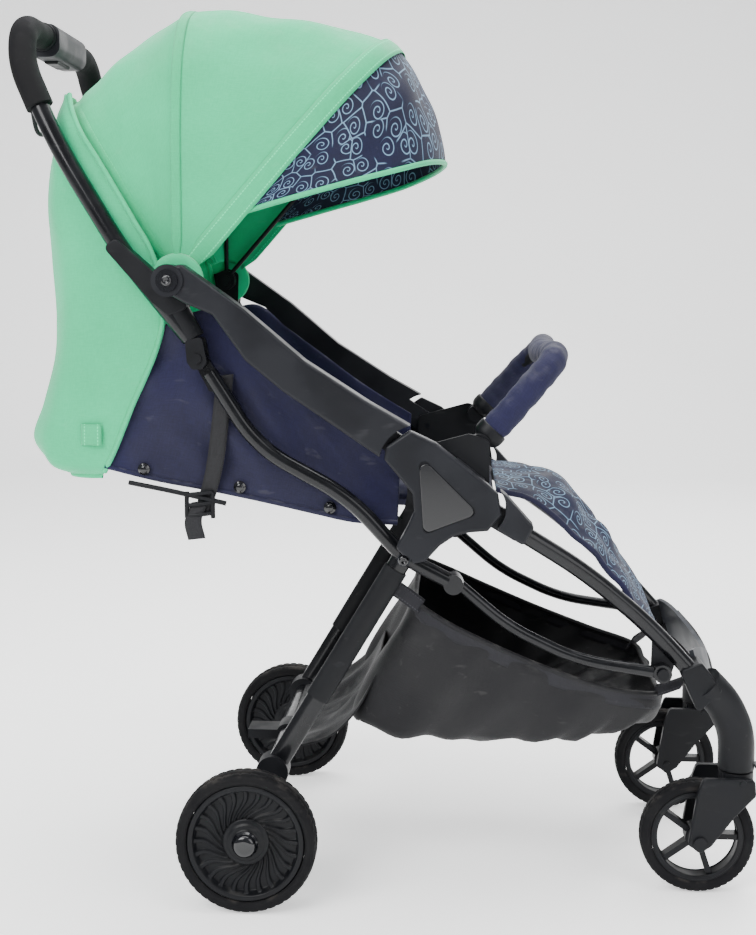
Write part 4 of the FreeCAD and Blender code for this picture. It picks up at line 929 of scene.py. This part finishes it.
@dataclass
class Seat:
    """The navy seat: two padded boards, two soft side walls, piping, snaps and recline straps."""

    half: float = 144.0
    swell_frames: int = 20
    low: tuple[tuple[float, float], ...] = ((-181, 527), (-118, 512), (-50, 500), (15, 487), (79, 473),
                                            (122, 464), (178, 461))
    high: tuple[tuple[float, float], ...] = ((-112, 697), (-80, 712), (-48, 719), (2, 684), (54, 646),
                                             (108, 606), (182, 560))

    def pad(self, name: str, corners: Sequence[tuple[float, float]], body: str, node: str) -> None:
        """A stuffed board: a rounded slab swollen by cloth pressure, with sewn channels pressed in.

        Args:
            name: The piece's name.
            corners: Its lower rear, lower front, upper front and upper rear corners in side view.
            body: The body that it rides on.
            node: The CAD node that it stands for.
        """
        v, u = unit_grid(41, 49)
        low = np.array([corners[0], corners[1]], float)
        high = np.array([corners[3], corners[2]], float)
        edge = 1 - (2 * u - 1) ** 8
        side = (1 - (2 * v - 1) ** 10) ** 0.5
        across = (2 * u - 1) * self.half * (0.985 + 0.015 * side)
        halves = []
        for face in (low, high):
            middle = (low + high) / 2
            line = middle[0] * (1 - v[..., None]) + middle[1] * v[..., None]
            away = (face[0] - middle[0]) * (1 - v[..., None]) + (face[1] - middle[1]) * v[..., None]
            point = line + away * (np.sqrt(np.maximum(edge, 0)) * side)[..., None]
            halves.append(Surface(np.stack([AXLE_X + point[..., 0] * MM, across * MM, point[..., 1] * MM],
                                           axis=-1)))
        piece = joined(name, halves, True)
        self.swell(piece)
        self.press_channels(piece)
        finish_piece(piece, "navy_pad", body, stands_for=[node])

    def swell(self, piece: bpy.types.Object, voxel: float = 0.006, cap: float = 0.006) -> None:
        """Inflate a pad as cloth under pressure, then hold each point within a cap of its start."""
        piece.data.remesh_voxel_size = voxel
        with bpy.context.temp_override(object=piece, active_object=piece, selected_objects=[piece]):
            bpy.ops.object.voxel_remesh()
        count = len(piece.data.vertices)
        before = np.empty(count * 3)
        piece.data.vertices.foreach_get("co", before)
        cloth = piece.modifiers.new("swell", "CLOTH")
        cloth.settings.use_pressure = True
        cloth.settings.uniform_pressure_force = 4.0
        cloth.settings.effector_weights.gravity = 0.0
        scene = bpy.context.scene
        for number in range(1, self.swell_frames + 1):
            scene.frame_set(number)
        swollen = piece.evaluated_get(bpy.context.evaluated_depsgraph_get())
        after = np.empty(count * 3)
        swollen.data.vertices.foreach_get("co", after)
        piece.modifiers.remove(cloth)
        move = (after - before).reshape(-1, 3)
        length = np.linalg.norm(move, axis=1, keepdims=True)
        move *= np.minimum(1.0, cap / np.maximum(length, 1e-9))
        piece.data.vertices.foreach_set("co", (before.reshape(-1, 3) + move).reshape(-1))
        piece.data.update()
        piece.data.polygons.foreach_set("use_smooth", np.full(len(piece.data.polygons), True))
        scene.frame_set(1)

    def press_channels(self, piece: bpy.types.Object) -> None:
        """Press sewn channels: a narrow Gaussian dip along two lines across Y."""
        count = len(piece.data.vertices)
        place = np.empty(count * 3)
        piece.data.vertices.foreach_get("co", place)
        place = place.reshape(-1, 3)
        middle = place.mean(axis=0)
        for line in (-0.062, 0.062):
            dip = 0.0022 * np.exp(-((place[:, 1] - line) / 0.005) ** 2)
            place[:, 2] -= dip * np.sign(place[:, 2] - middle[2])
        piece.data.vertices.foreach_set("co", place.reshape(-1))
        piece.data.update()

    def wall(self, side: Side) -> None:
        """A soft side wall between the seat's edge and the armrest, creased and slightly slack."""
        y = side.value
        low = smooth_line(spots(*[(x, y * 164, z) for x, z in self.low]), 121)
        high = smooth_line(spots(*[(x, y * 167, z) for x, z in self.high]), 121)
        v, u = unit_grid(45, 121)
        grid = low[None] * (1 - v[..., None]) + high[None] * v[..., None]
        slack = np.sin(np.pi * v) ** 0.6
        crease = 0.0035 * ripple(u * 2.4 + v, v * 1.2, 31 + y, low=0.8, high=2.6)
        crease += 0.0022 * np.exp(-((v - 0.1) / 0.1) ** 2) * np.sin(26 * u + 2 * np.sin(9 * u))
        grid[..., 1] -= y * (0.004 * slack + slack * crease)
        surface = Surface(grid)
        name = f"seat_wall_{side.name.lower()}"
        piece = surface.build(name)
        thicken(piece, 0.0024)
        width, length = surface.flat_size()
        float(np.clip(surface.area(), 0.31 * width * length, width * length))
        finish_piece(piece, "navy", "rear_frame", crush=self.inwards(side),
                     stands_for=["seat_sides"] if side is Side.RIGHT else ())
        lower = tube_surface(smooth_line(grid[0, ::6], 140), 0.0032, 12).build(name + "_piping")
        finish_piece(lower, "navy", "rear_frame", crush=self.inwards(side))

    def inwards(self, side: Side) -> tuple[Array, Array, float]:
        """The crush values for a side wall: the Y axis, an anchor beside the seat and the share 0.3."""
        return np.array([0.0, 1.0, 0.0]), spot(0, side.value * 105, 500), 0.3

    def strap(self, side: Side) -> None:
        """The recline strap down each side: webbing, an adjuster, a short bar and a pull tab."""
        y = side.value * 169.0
        line = smooth_line(spots((-31, y, 640), (-36, y * 1.012, 590), (-46, y * 1.016, 520),
                                 (-60, y * 1.012, 470)), 40)
        along = np.tile(np.array([[1.0, 0.0, 0.12]]), (len(line), 1))
        webbing = ribbon_surface(line, along, 0.021)
        tail = smooth_line(spots((-62, y * 1.02, 486), (-70, y * 1.045, 462), (-66, y * 1.035, 440)), 16)
        label = side.name.lower()
        piece = joined(f"recline_webbing_{label}", [webbing, ribbon_surface(tail, along[:16], 0.021)])
        thicken(piece, 0.0016)
        finish_piece(piece, "webbing", "rear_frame", crush=self.inwards(side),
                     stands_for=["recline_strap"] if side is Side.RIGHT else ())
        slide = []
        for height in (0, 13, 26):
            bar = smooth_line(spots((-78, y * 1.03, 468 + height), (-62, y * 1.04, 470 + height),
                                    (-46, y * 1.03, 472 + height)), 12)
            slide.append(tube_surface(bar, 0.0026, 10))
        for x in (-78, -46):
            post = smooth_line(spots((x, y * 1.03, 466), (x, y * 1.035, 481), (x, y * 1.03, 498)), 12)
            slide.append(tube_surface(post, 0.0028, 10, (1.0, 0.0, 0.0)))
        long_bar = smooth_line(spots((-150, y * 1.01, 508), (-100, y * 1.028, 499), (-30, y * 1.03, 484)), 40)
        slide.append(tube_surface(long_bar, 0.003, 10))
        finish_piece(joined(f"recline_adjuster_{label}", slide, True), "moulding",
                     "rear_frame", crush=self.inwards(side))

    def snaps(self) -> None:
        """Press studs along each side wall: small stepped discs."""
        profile = np.array([(0.0001, 0.0036), (0.003, 0.0034), (0.0046, 0.0026), (0.005, 0.0014),
                            (0.0072, 0.0012), (0.0078, 0.0), (0.0001, 0.0)])
        for side in Side:
            discs = [spun_surface(profile, spot(x, side.value * 167.5, z), side.value, 24)
                     for x, z in ((-132, 524), (-14, 503), (96, 479))]
            finish_piece(joined(f"seat_snaps_{side.name.lower()}", discs, True), "gloss",
                         "rear_frame", crush=self.inwards(side))

    def build(self) -> None:
        """Both pads, both walls, the straps and the snaps."""
        self.pad("seat_pad", [(128, 480), (303, 478), (303, 494), (128, 498)], "rear_frame", "seat_base")
        self.pad("seat_back_pad", [(-176, 531), (114, 482), (114, 500), (-174, 548)], "seat_back",
                 "seat_back")
        for side in Side:
            self.wall(side)
            self.strap(side)
        self.snaps()


@dataclass
class LegRest:
    """The slack printed cloth that hangs from the seat's front to the footrest, with piped edges."""

    half: float = 126.0

    def build(self) -> None:
        """The sheet as a loft of drooping lines across, and its two piped edges."""
        path = smooth_line(spots((296, 0, 505), (345, 0, 508), (384, 0, 503), (437, 0, 449), (467, 0, 402),
                                 (491, 0, 356), (508, 0, 308)), 90)
        v, u = unit_grid(90, 71)
        low = smooth_line(spots((298, 0, 497), (342, 0, 482), (384, 0, 452), (425, 0, 411), (457, 0, 370),
                                (484, 0, 330), (505, 0, 300)), 90)
        drop = (np.abs(2 * u - 1) ** 2.4)[..., None]
        grid = path[:, None] * (1 - drop) + low[:, None] * drop
        narrow = 1 - 0.05 * np.sin(np.pi * v)
        grid[..., 1] = (2 * u - 1) * self.half * MM * narrow
        dip = 0.010 * np.sin(np.pi * v) + 0.006 * np.exp(-((v - 0.42) / 0.1) ** 2)
        sag = np.sin(np.pi * u) ** 0.8 * dip
        crease = 0.003 * ripple(u * 1.8, v * 2.0, 41, low=0.8, high=2.8) * np.sin(np.pi * v) ** 0.5
        normal = outward(grid)
        grid -= normal * np.sign(normal[..., 2].mean()) * (sag + crease)[..., None]
        surface = Surface(grid)
        piece = surface.build("leg_rest_cloth")
        thicken(piece, 0.003)
        bend = ("rear_frame", "front_frame", spot(315, 0, 480), spot(470, 0, 400))
        finish_piece(piece, "scroll", bend=bend, stands_for=["leg_rest"])
        for name, column in (("right", 0), ("left", -1)):
            edge = tube_surface(smooth_line(grid[::5, column], 120), 0.0036, 12, (0.0, 1.0, 0.0))
            finish_piece(edge.build(f"leg_rest_piping_{name}"), "navy", bend=bend)


@dataclass
class Basket:
    """The black cloth basket: a sagging shell lofted from its rim, with a hem, straps and creases."""

    samples: int = 128

    def ring(self, rear: tuple[float, float, float], front: tuple[float, float, float],
             side: Sequence[tuple[float, float, float]]) -> Array:
        """One closed level of the shell, from rear middle round the right, front and left sides.

        Args:
            rear: The rear edge's x, half width and z.
            front: The front edge's x, half width and z.
            side: Points along the side between them.

        Returns:
            The ring's samples, without the repeated last one.
        """
        half = [(rear[0] - 3, 0.0, rear[2] - 6), (rear[0] - 2, rear[1] * 0.55, rear[2] - 4), rear, *side,
                front,
                (front[0] + 4, front[1] * 0.5, front[2] - 4), (front[0] + 5, 0.0, front[2] - 5)]
        right = [(x, -y, z) for x, y, z in half]
        left = [(x, y, z) for x, y, z in reversed(half[:-1])]
        return smooth_line(spots(*(right + left)), self.samples + 1)[:-1]

    def shell(self) -> Surface:
        """Rings from the rim down the bulging walls to the sagging floor, with pulled creases."""
        rings = [
            self.ring((199, 132, 355), (500, 112, 240), [(228, 150, 340), (290, 158, 311), (362, 157, 281),
                                                         (440, 146, 254)]),
            self.ring((186, 134, 322), (502, 113, 233), [(220, 154, 306), (290, 162, 285), (362, 160, 262),
                                                         (440, 148, 241)]),
            self.ring((158, 133, 268), (498, 111, 219), [(206, 153, 250), (286, 160, 238), (360, 158, 226),
                                                         (438, 145, 216)]),
            self.ring((130, 129, 214), (486, 107, 204), [(190, 146, 203), (278, 152, 200), (354, 149, 196),
                                                         (428, 138, 198)]),
            self.ring((124, 112, 192), (468, 94, 198), [(184, 128, 188), (274, 134, 187), (348, 132, 185),
                                                        (420, 120, 191)]),
            self.ring((150, 70, 187), (430, 58, 190), [(200, 84, 184), (276, 88, 181), (340, 86, 181),
                                                       (396, 76, 186)]),
            self.ring((200, 22, 184), (370, 18, 184), [(230, 26, 181), (276, 28, 179), (310, 26, 179),
                                                       (344, 22, 181)]),
        ]
        grid = loft(rings, 84)
        v, u = unit_grid(*grid.shape[:2])
        turn = 2 * np.pi * u
        wave = (ripple(np.cos(turn) * 1.3, np.sin(turn) * 1.3 + v * 1.1, 51, low=0.8, high=2.6)
                + 0.6 * np.sin(turn * 17 + 3.5 * np.sin(turn * 3) + 5 * v)
                * np.exp(-((v - 0.55) / 0.25) ** 2))
        loose = np.clip(v / 0.12, 0, 1) * np.clip((1.05 - v) / 0.3, 0, 1)
        centre = grid.mean(axis=(0, 1))
        normal = outward(np.concatenate([grid[:, -3:], grid, grid[:, :3]], axis=1))[:, 3:-3]
        out = np.sign(np.sum(normal * (grid - centre), axis=-1, keepdims=True))
        grid = grid + normal * out * (0.0042 * wave * loose)[..., None]
        return Surface(grid, closed_columns=True)

    def build(self) -> None:
        """The shell, its floor patch, stitched hem, rim piping, hanging tabs and rear apron."""
        surface = self.shell()
        piece = surface.build("basket_cloth")
        thicken(piece, 0.0018)
        middle = surface.points[-1].mean(axis=0)
        width = float(run_lengths(surface.points, 1)[:, -1].max())
        length = float(run_lengths(surface.points, 0)[-1].max())
        float(np.clip(surface.area(), 0.31 * width * length, width * length))
        bend = ("rear_frame", "front_frame", spot(300, 0, 240), spot(470, 0, 235))
        finish_piece(piece, "black", bend=bend, stands_for=["basket"])
        share = np.linspace(0.0, 1.0, 5)[:, None, None]
        floor = Surface(surface.points[-1][None] * (1 - share * 0.999) + middle * share * 0.999,
                        closed_columns=True)
        patch = floor.build("basket_floor_patch")
        thicken(patch, 0.0018)
        finish_piece(patch, "black", bend=bend)
        rim = surface.points[0]
        outward_way = rim - rim.mean(axis=0)
        outward_way[:, 2] = 0
        outward_way /= np.linalg.norm(outward_way, axis=1, keepdims=True)
        drop = np.linspace(0.002, -0.018, 5)[:, None]
        ring = rim[:, None] + outward_way[:, None] * 0.0022 + np.array([0, 0, 1.0]) * drop[None]
        hem_grid = np.swapaxes(ring, 0, 1)
        hem = joined("basket_hem", [Surface(hem_grid, closed_columns=True)])
        thicken(hem, 0.0012)
        finish_piece(hem, "black_band", bend=bend)
        edge = np.concatenate([rim, rim[:1]])
        finish_piece(tube_surface(edge, 0.0036, 12, (0.01, 0.02, 1.0)).build("basket_rim_piping"), "black",
                     bend=bend)
        for side in Side:
            self.tabs(side)
        self.apron()

    def apron(self) -> None:
        """The rear apron that ties the floor to the crossbar: a creased sheet slung between them."""
        v, u = unit_grid(24, 81)
        line = smooth_line(spots((150, 0, 262), (120, 0, 213), (88, 0, 186), (52, 0, 171),
                                 (30, 0, 163.5)), 24)
        grid = line[:, None] + np.zeros((24, 81, 3))
        grid[..., 1] = (2 * u - 1) * (0.131 + 0.006 * v)
        crease = 0.0035 * ripple(u * 2.6, v * 0.5, 57, low=0.8, high=3.0) * np.sin(np.pi * v)
        grid[..., 2] += crease - 0.007 * np.sin(np.pi * v) * np.sin(np.pi * u) ** 2
        surface = Surface(grid)
        piece = surface.build("basket_apron")
        thicken(piece, 0.0018)
        finish_piece(piece, "black", "rear_frame")

    def tabs(self, side: Side) -> None:
        """Cloth tabs that tie the rim to the rear leg and to the front frame."""
        y = side.value
        rear = smooth_line(spots((206, y * 140, 352), (182, y * 148, 372), (160, y * 154, 388)), 16)
        front = smooth_line(spots((494, y * 112, 242), (514, y * 122, 252), (530, y * 132, 262)), 16)
        up = np.tile(np.array([[0.5, 0.0, 0.86]]), (16, 1))
        for name, line, width, body in (("rear", rear, 0.02, "rear_frame"),
                                        ("front", front, 0.022, "front_frame")):
            piece = ribbon_surface(line, up, width).build(f"basket_tab_{name}_{side.name.lower()}")
            thicken(piece, 0.0018)
            finish_piece(piece, "black_band", body)


@dataclass
class Bumper:
    """The bar's padded navy sleeve, gathered along its length, with moulded end caps."""

    radius: float = 0.0168

    def build(self) -> None:
        """A tube along the bar whose radius ripples with gathers, and a cap at each end."""
        half = [(287, 171, 570), (316, 169, 601), (343, 160, 632), (362, 142, 652), (368, 122, 661),
                (366, 92, 662), (362, 50, 660), (360, 0, 660)]
        line = smooth_line(spots(*([(x, -y, z) for x, y, z in half] +
                                   [(x, y, z) for x, y, z in reversed(half[:-1])])), 300)
        surface = tube_surface(line, self.radius, 40, (0.75, 0.0, 0.66))
        v, u = unit_grid(300, 40)
        turn = 2 * np.pi * u
        gather = (np.sin(150 * v + 1.6 * np.sin(turn) + 2.2 * np.sin(31 * v)) * 0.45
                  + ripple(v * 16, np.cos(turn) * 0.35, 61, low=0.8, high=2.4))
        ends = np.minimum(1.0, np.minimum(v, 1 - v) * 26) ** 0.5
        away = surface.points - line[:, None]
        swell = (0.86 + 0.14 * ends) * (1 + 0.028 * gather * ends)
        surface.points = line[:, None] + away * swell[..., None]
        piece = joined("bumper_sleeve", [surface], True)
        finish_piece(piece, "navy", "bumper", stands_for=["bumper_cover"])
        caps = []
        for place in (line[:12], line[-12:][::-1]):
            way = (place[0] - place[6]) / np.linalg.norm(place[0] - place[6])
            run = np.linspace(-0.010, 0.010, 12)[:, None] * way + place[0]
            size = np.array([.0180, .0186, .0188, .0188, .0188, .0187, .0185, .0180, .0172, .016,
                             .0138, .0118])
            caps.append(tube_surface(run, size, 32, (0.0, 1.0, 0.0)))
        finish_piece(joined("bumper_end_caps", caps, True), "moulding", "bumper")


@dataclass
class Wheels:
    """Detailed rims, tyres and hub caps that stand for the plain turned ones."""

    rear_radius: float = 0.085
    front_radius: float = 0.070
    depth: float = 0.014

    def tyre(self, name: str, centre: Array, side: Side, radius: float, width: float, body: str) -> None:
        """A foam tyre: rounded shoulders, a raised sidewall ring and grooves cut across the tread."""
        half = width / 2
        bead = radius - self.depth
        steps = [(bead + 0.0004, -0.80), (bead + 0.003, -0.93), (bead + 0.006, -0.99), (bead + 0.0075, -0.94),
                 (radius - 0.0046, -0.99), (radius - 0.0024, -0.9), (radius - 0.0009, -0.72),
                 (radius - 0.0001, -0.46), (radius - 0.0016, -0.40), (radius - 0.0016, -0.30),
                 (radius, -0.24), (radius, 0.24), (radius - 0.0016, 0.30), (radius - 0.0016, 0.40),
                 (radius - 0.0001, 0.46), (radius - 0.0009, 0.72), (radius - 0.0024, 0.9),
                 (radius - 0.0046, 0.99), (bead + 0.0075, 0.94), (bead + 0.006, 0.99), (bead + 0.003, 0.93),
                 (bead + 0.0004, 0.80)]
        profile = np.array([(r, share * half) for r, share in steps])
        count = 288
        turn = np.linspace(0, 2 * np.pi, count, endpoint=False)
        r, angle = np.meshgrid(profile[:, 0], turn, indexing="ij")
        out = np.broadcast_to(profile[:, 1][:, None], r.shape)
        cut = np.clip(np.cos(angle * 48 + 3 * np.sign(out)) * 3 - 1.6, 0, 1)
        shoulder = np.clip((r - (radius - 0.004)) / 0.003, 0, 1) * (np.abs(out) > 0.42 * half)
        r = r - 0.0011 * cut * shoulder
        grid = np.stack([r * np.cos(angle), side.value * out, r * np.sin(angle)], axis=-1) + centre
        piece = joined(name, [Surface(grid, closed_rows=True, closed_columns=True)], True)
        finish_piece(piece, "tyre", body, stands_for=[f"{body.rsplit('_', 1)[0]}_tyre_"
                                                                  f"{side.name.lower()}"])

    def rear_rim(self, centre: Array, side: Side) -> None:
        """A dished rim with swirling fan ribs and stepped hub rings, as one closed turned shell."""
        body = f"rear_wheel_{side.name.lower()}"
        bead = self.rear_radius - self.depth
        outer = np.concatenate([np.linspace(0.0056, 0.016, 5), np.linspace(0.0165, 0.0275, 10),
                                np.linspace(0.028, 0.0605, 34), np.linspace(0.061, bead, 12)])
        dish = np.interp(outer, [0.005, 0.016, 0.0163, 0.022, 0.0223, 0.0275, 0.028, 0.046, 0.0605, 0.0625,
                                 0.064, 0.0695, bead],
                         [0.0125, 0.0125, 0.0105, 0.0100, 0.0078, 0.0066, 0.0030, 0.0022, 0.0030, 0.0078,
                          0.0122, 0.0126, 0.0102])
        turn = np.linspace(0, 2 * np.pi, 480, endpoint=False)
        r, angle = np.meshgrid(outer, turn, indexing="ij")
        swirl = angle + 0.52 * ((r - 0.028) / 0.033) + 0.18 * np.sin(np.pi * (r - 0.028) / 0.033)
        rib = np.clip((np.cos(24 * swirl) - 0.25) * 2.6, 0, 1)
        zone = np.clip((r - 0.0275) / 0.002, 0, 1) * np.clip((0.0625 - r) / 0.002, 0, 1)
        bow = 0.0046 - 0.0016 * np.sin(np.pi * (r - 0.028) / 0.033)
        face = dish[:, None] + rib * zone * bow
        inner = (-dish[:, None] - rib * zone * bow * 0.6)[::-1]
        radii = np.concatenate([r, r[::-1]])
        out = np.concatenate([np.broadcast_to(face, r.shape), np.broadcast_to(inner, r.shape)])
        angles = np.concatenate([angle, angle[::-1]])
        grid = np.stack([radii * np.cos(angles), side.value * out, radii * np.sin(angles)], axis=-1) + centre
        piece = joined(f"rear_rim_{side.name.lower()}",
                       [Surface(grid, closed_rows=True, closed_columns=True)], True)
        finish_piece(piece, "rim", body, stands_for=[f"rear_wheel_rim_{side.name.lower()}"])
        profile = np.array([(0.0001, 0.0236), (0.006, 0.0234), (0.0105, 0.0226), (0.0128, 0.0208),
                            (0.0136, 0.0186), (0.0137, 0.0150), (0.0158, 0.0144), (0.0160, 0.0118),
                            (0.0001, 0.0118)])
        cap = joined(f"rear_hub_cap_{side.name.lower()}",
                     [spun_surface(profile, centre, side.value, 64)], True)
        finish_piece(cap, "gloss", body)

    def front_trim(self, centre: Array, side: Side) -> None:
        """A raised hub ring and rim lip on each face of the five-spoke front rim."""
        body = f"front_wheel_{side.name.lower()}"
        bead = self.front_radius - self.depth
        rings = []
        for face in (-1, 1):
            lip = np.array([(bead - 0.0072, 0.0088), (bead - 0.0064, 0.0102), (bead - 0.0048, 0.0107),
                            (bead - 0.003, 0.0107), (bead - 0.0018, 0.0104), (bead - 0.0012, 0.0088)])
            hub = np.array([(0.0078, 0.0098), (0.0082, 0.0113), (0.0102, 0.0116), (0.0126, 0.0112),
                            (0.0134, 0.0100), (0.0134, 0.0092)])
            for profile in (lip, hub):
                ring = spun_surface(profile, centre, face, 120)
                ring.closed_rows = True
                rings.append(ring)
        finish_piece(joined(f"front_rim_trim_{side.name.lower()}", rings, True), "rim", body)

    def build(self) -> None:
        """Both sides' rear and front wheels."""
        for side in Side:
            label = side.name.lower()
            rear = np.array(JOINTS[f"rear_wheel_spin_{label}"]["pos_m"], float)
            front = np.array(JOINTS[f"front_wheel_spin_{label}"]["pos_m"], float)
            rear_low, rear_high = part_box(f"rear_wheel_tyre_{label}")
            front_low, front_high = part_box(f"front_wheel_tyre_{label}")
            rear[1] = (rear_low[1] + rear_high[1]) / 2
            front[1] = (front_low[1] + front_high[1]) / 2
            self.tyre(f"rear_tyre_{label}", rear, side, self.rear_radius, rear_high[1] - rear_low[1],
                      f"rear_wheel_{label}")
            self.tyre(f"front_tyre_{label}", front, side, self.front_radius,
                      front_high[1] - front_low[1], f"front_wheel_{label}")
            self.rear_rim(rear, side)
            self.front_trim(front, side)


@dataclass
class Trim:
    """Screws at the pivots, the handle module's seams and the wrist strap."""

    screw: tuple[tuple[float, float], ...] = ((0.0001, 0.0016), (0.0022, 0.0016), (0.0024, 0.0030),
                                              (0.0048, 0.0028), (0.0062, 0.0018), (0.0066, 0.0),
                                              (0.0001, 0.0))

    def screws(self) -> None:
        """Domed heads with hex sockets: turned profiles at each pivot."""
        profile = np.array(self.screw)
        places = {
            "rear_links": [(187, 422, 200.3)], "armrests": [(-88, 754, 230.2)],
        }
        for body, rows in places.items():
            heads = [spun_surface(profile, spot(x, side.value * y, z), side.value, 24)
                     for side in Side for x, z, y in rows]
            finish_piece(joined(f"{body}_screws", heads, True), "gloss", body)

    def handle_seams(self) -> None:
        """Narrow rubber rings where the grips meet the module."""
        rings = []
        for side in Side:
            line = np.array([spot(-283, side.value * y, 1065) for y in np.linspace(60.6, 65.0, 8)])
            size = np.array([0.0170, 0.0182, 0.0184, 0.0184, 0.0184, 0.0184, 0.0180, 0.0170])
            rings.append(tube_surface(line, size, 40))
        finish_piece(joined("handle_rings", rings, True), "moulding", "handle_frame")

    def wrist_strap(self) -> None:
        """The wrist strap: a limp cord that hangs from the handle's middle in a long loop."""
        route = [(-303, -40, 1037), (-304, -43, 1018), (-305, -44, 995), (-304, -36, 962), (-303, -26, 947),
                 (-302, -6, 946), (-301, 2, 953), (-302, -4, 975), (-303, -14, 995), (-303, -24, 1018),
                 (-303, -30, 1037)]
        curve = bpy.data.curves.new("wrist_strap_cord", "CURVE")
        curve.dimensions = "3D"
        spline = curve.splines.new("NURBS")
        spline.points.add(len(route) - 1)
        for knot, place in zip(spline.points, route):
            knot.co = (*spot(*place), 1.0)
        spline.order_u = 3
        spline.use_endpoint_u = True
        curve.bevel_depth = 0.003
        curve.bevel_resolution = 5
        curve.resolution_u = 12
        piece = bpy.data.objects.new("wrist_strap_cord", curve)
        bpy.context.collection.objects.link(piece)
        line = spots(*route)
        length = float(np.linalg.norm(np.diff(line, axis=0), axis=1).sum()) * 0.985
        piece.data.materials.append(Wardrobe.get("webbing"))
        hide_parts("wrist_strap")
        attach(piece, "handle_frame")
        log.info("%s: %.3f m long", piece.name, length)

    def build(self) -> None:
        """All the trim."""
        self.screws()
        self.handle_seams()
        self.wrist_strap()


@dataclass
class Studio:
    """A pale floor, soft lights and the camera."""

    eye: tuple[float, float, float] = (0.0965, -1.7554, 0.7559)
    focal: float = 51.1
    shift: tuple[float, float] = (0.0, -0.105)
    turn: tuple[float, float] = (3.607, 3.899)

    def floor(self) -> None:
        """A sheet that runs under the stroller and curls up far behind it: an arc joins the two."""
        span = np.linspace(0, 1, 60)
        depth = np.interp(span, [0, 0.7, 1.0], [-4.0, 3.2, 5.0])
        rise = np.where(span > 0.7, ((span - 0.7) / 0.3) ** 2 * 3.4, 0.0)
        line = np.stack([np.zeros(60), depth, rise - 0.0005], axis=-1)
        width = np.linspace(-6, 6, 12)
        grid = line[:, None] + np.array([1.0, 0.0, 0.0]) * width[None, :, None]
        ground = Surface(grid).build("studio_floor")
        material, graph, shader = new_material("studio_paper")
        place = graph.add("ShaderNodeTexCoord").outputs["Object"]
        tone = graph.noise(place, 3.0, 2.0)
        graph.feed(shader.inputs["Base Color"], graph.mix(tone, shade(246, 246, 245), shade(252, 252, 251)))
        shader.inputs["Roughness"].default_value = 0.75
        shader.inputs["Emission Color"].default_value = (1.0, 1.0, 1.0, 1.0)
        shader.inputs["Emission Strength"].default_value = 0.62
        ground.data.materials.append(material)

    def lamp(self, name: str, place: tuple[float, float, float], size: float, power: float) -> None:
        """A square area light aimed at the seat."""
        light = bpy.data.lights.new(name, "AREA")
        light.size, light.energy = size, power
        lamp = bpy.data.objects.new(name, light)
        lamp.location = place
        lamp.rotation_euler = (Vector((0.0, 0.0, 0.5)) - Vector(place)).to_track_quat("-Z", "Y").to_euler()
        bpy.context.collection.objects.link(lamp)

    def camera(self) -> None:
        """The camera: level eye height, turned slightly left and down, with a small shift."""
        data = bpy.data.cameras.new("camera")
        data.lens, data.sensor_width = self.focal, 36.0
        data.shift_x, data.shift_y = self.shift
        camera = bpy.data.objects.new("camera", data)
        camera.location = self.eye
        left, down = (math.radians(angle) for angle in self.turn)
        camera.rotation_euler = (math.pi / 2 - down, 0.0, left)
        bpy.context.collection.objects.link(camera)
        bpy.context.scene.camera = camera

    def build(self) -> None:
        """The whole studio."""
        self.floor()
        self.lamp("key_light", (-1.6, -2.4, 2.6), 2.2, 165.0)
        self.lamp("fill_light", (2.4, -2.0, 1.7), 2.4, 62.0)
        self.lamp("top_light", (0.1, 0.4, 3.0), 2.6, 150.0)
        self.lamp("back_light", (1.2, 2.6, 2.2), 2.0, 40.0)
        world = bpy.data.worlds.new("soft_sky")
        world.use_nodes = True
        back = world.node_tree.nodes["Background"]
        back.inputs["Color"].default_value = (0.93, 0.95, 1.0, 1.0)
        back.inputs["Strength"].default_value = 0.42
        bpy.context.scene.world = world
        self.camera()


def main() -> None:
    """Build the finishes, every soft and hard piece, and the studio."""
    logging.basicConfig(level=logging.INFO, format="%(message)s")
    Groups.build()
    Wardrobe.dress_frame()
    Studio().build()
    for part in (Hood(), BackFlap(), Seat(), LegRest(), Basket(), Bumper(), Wheels(), Trim()):
        part.build()


if __name__ == "__main__":
    main()
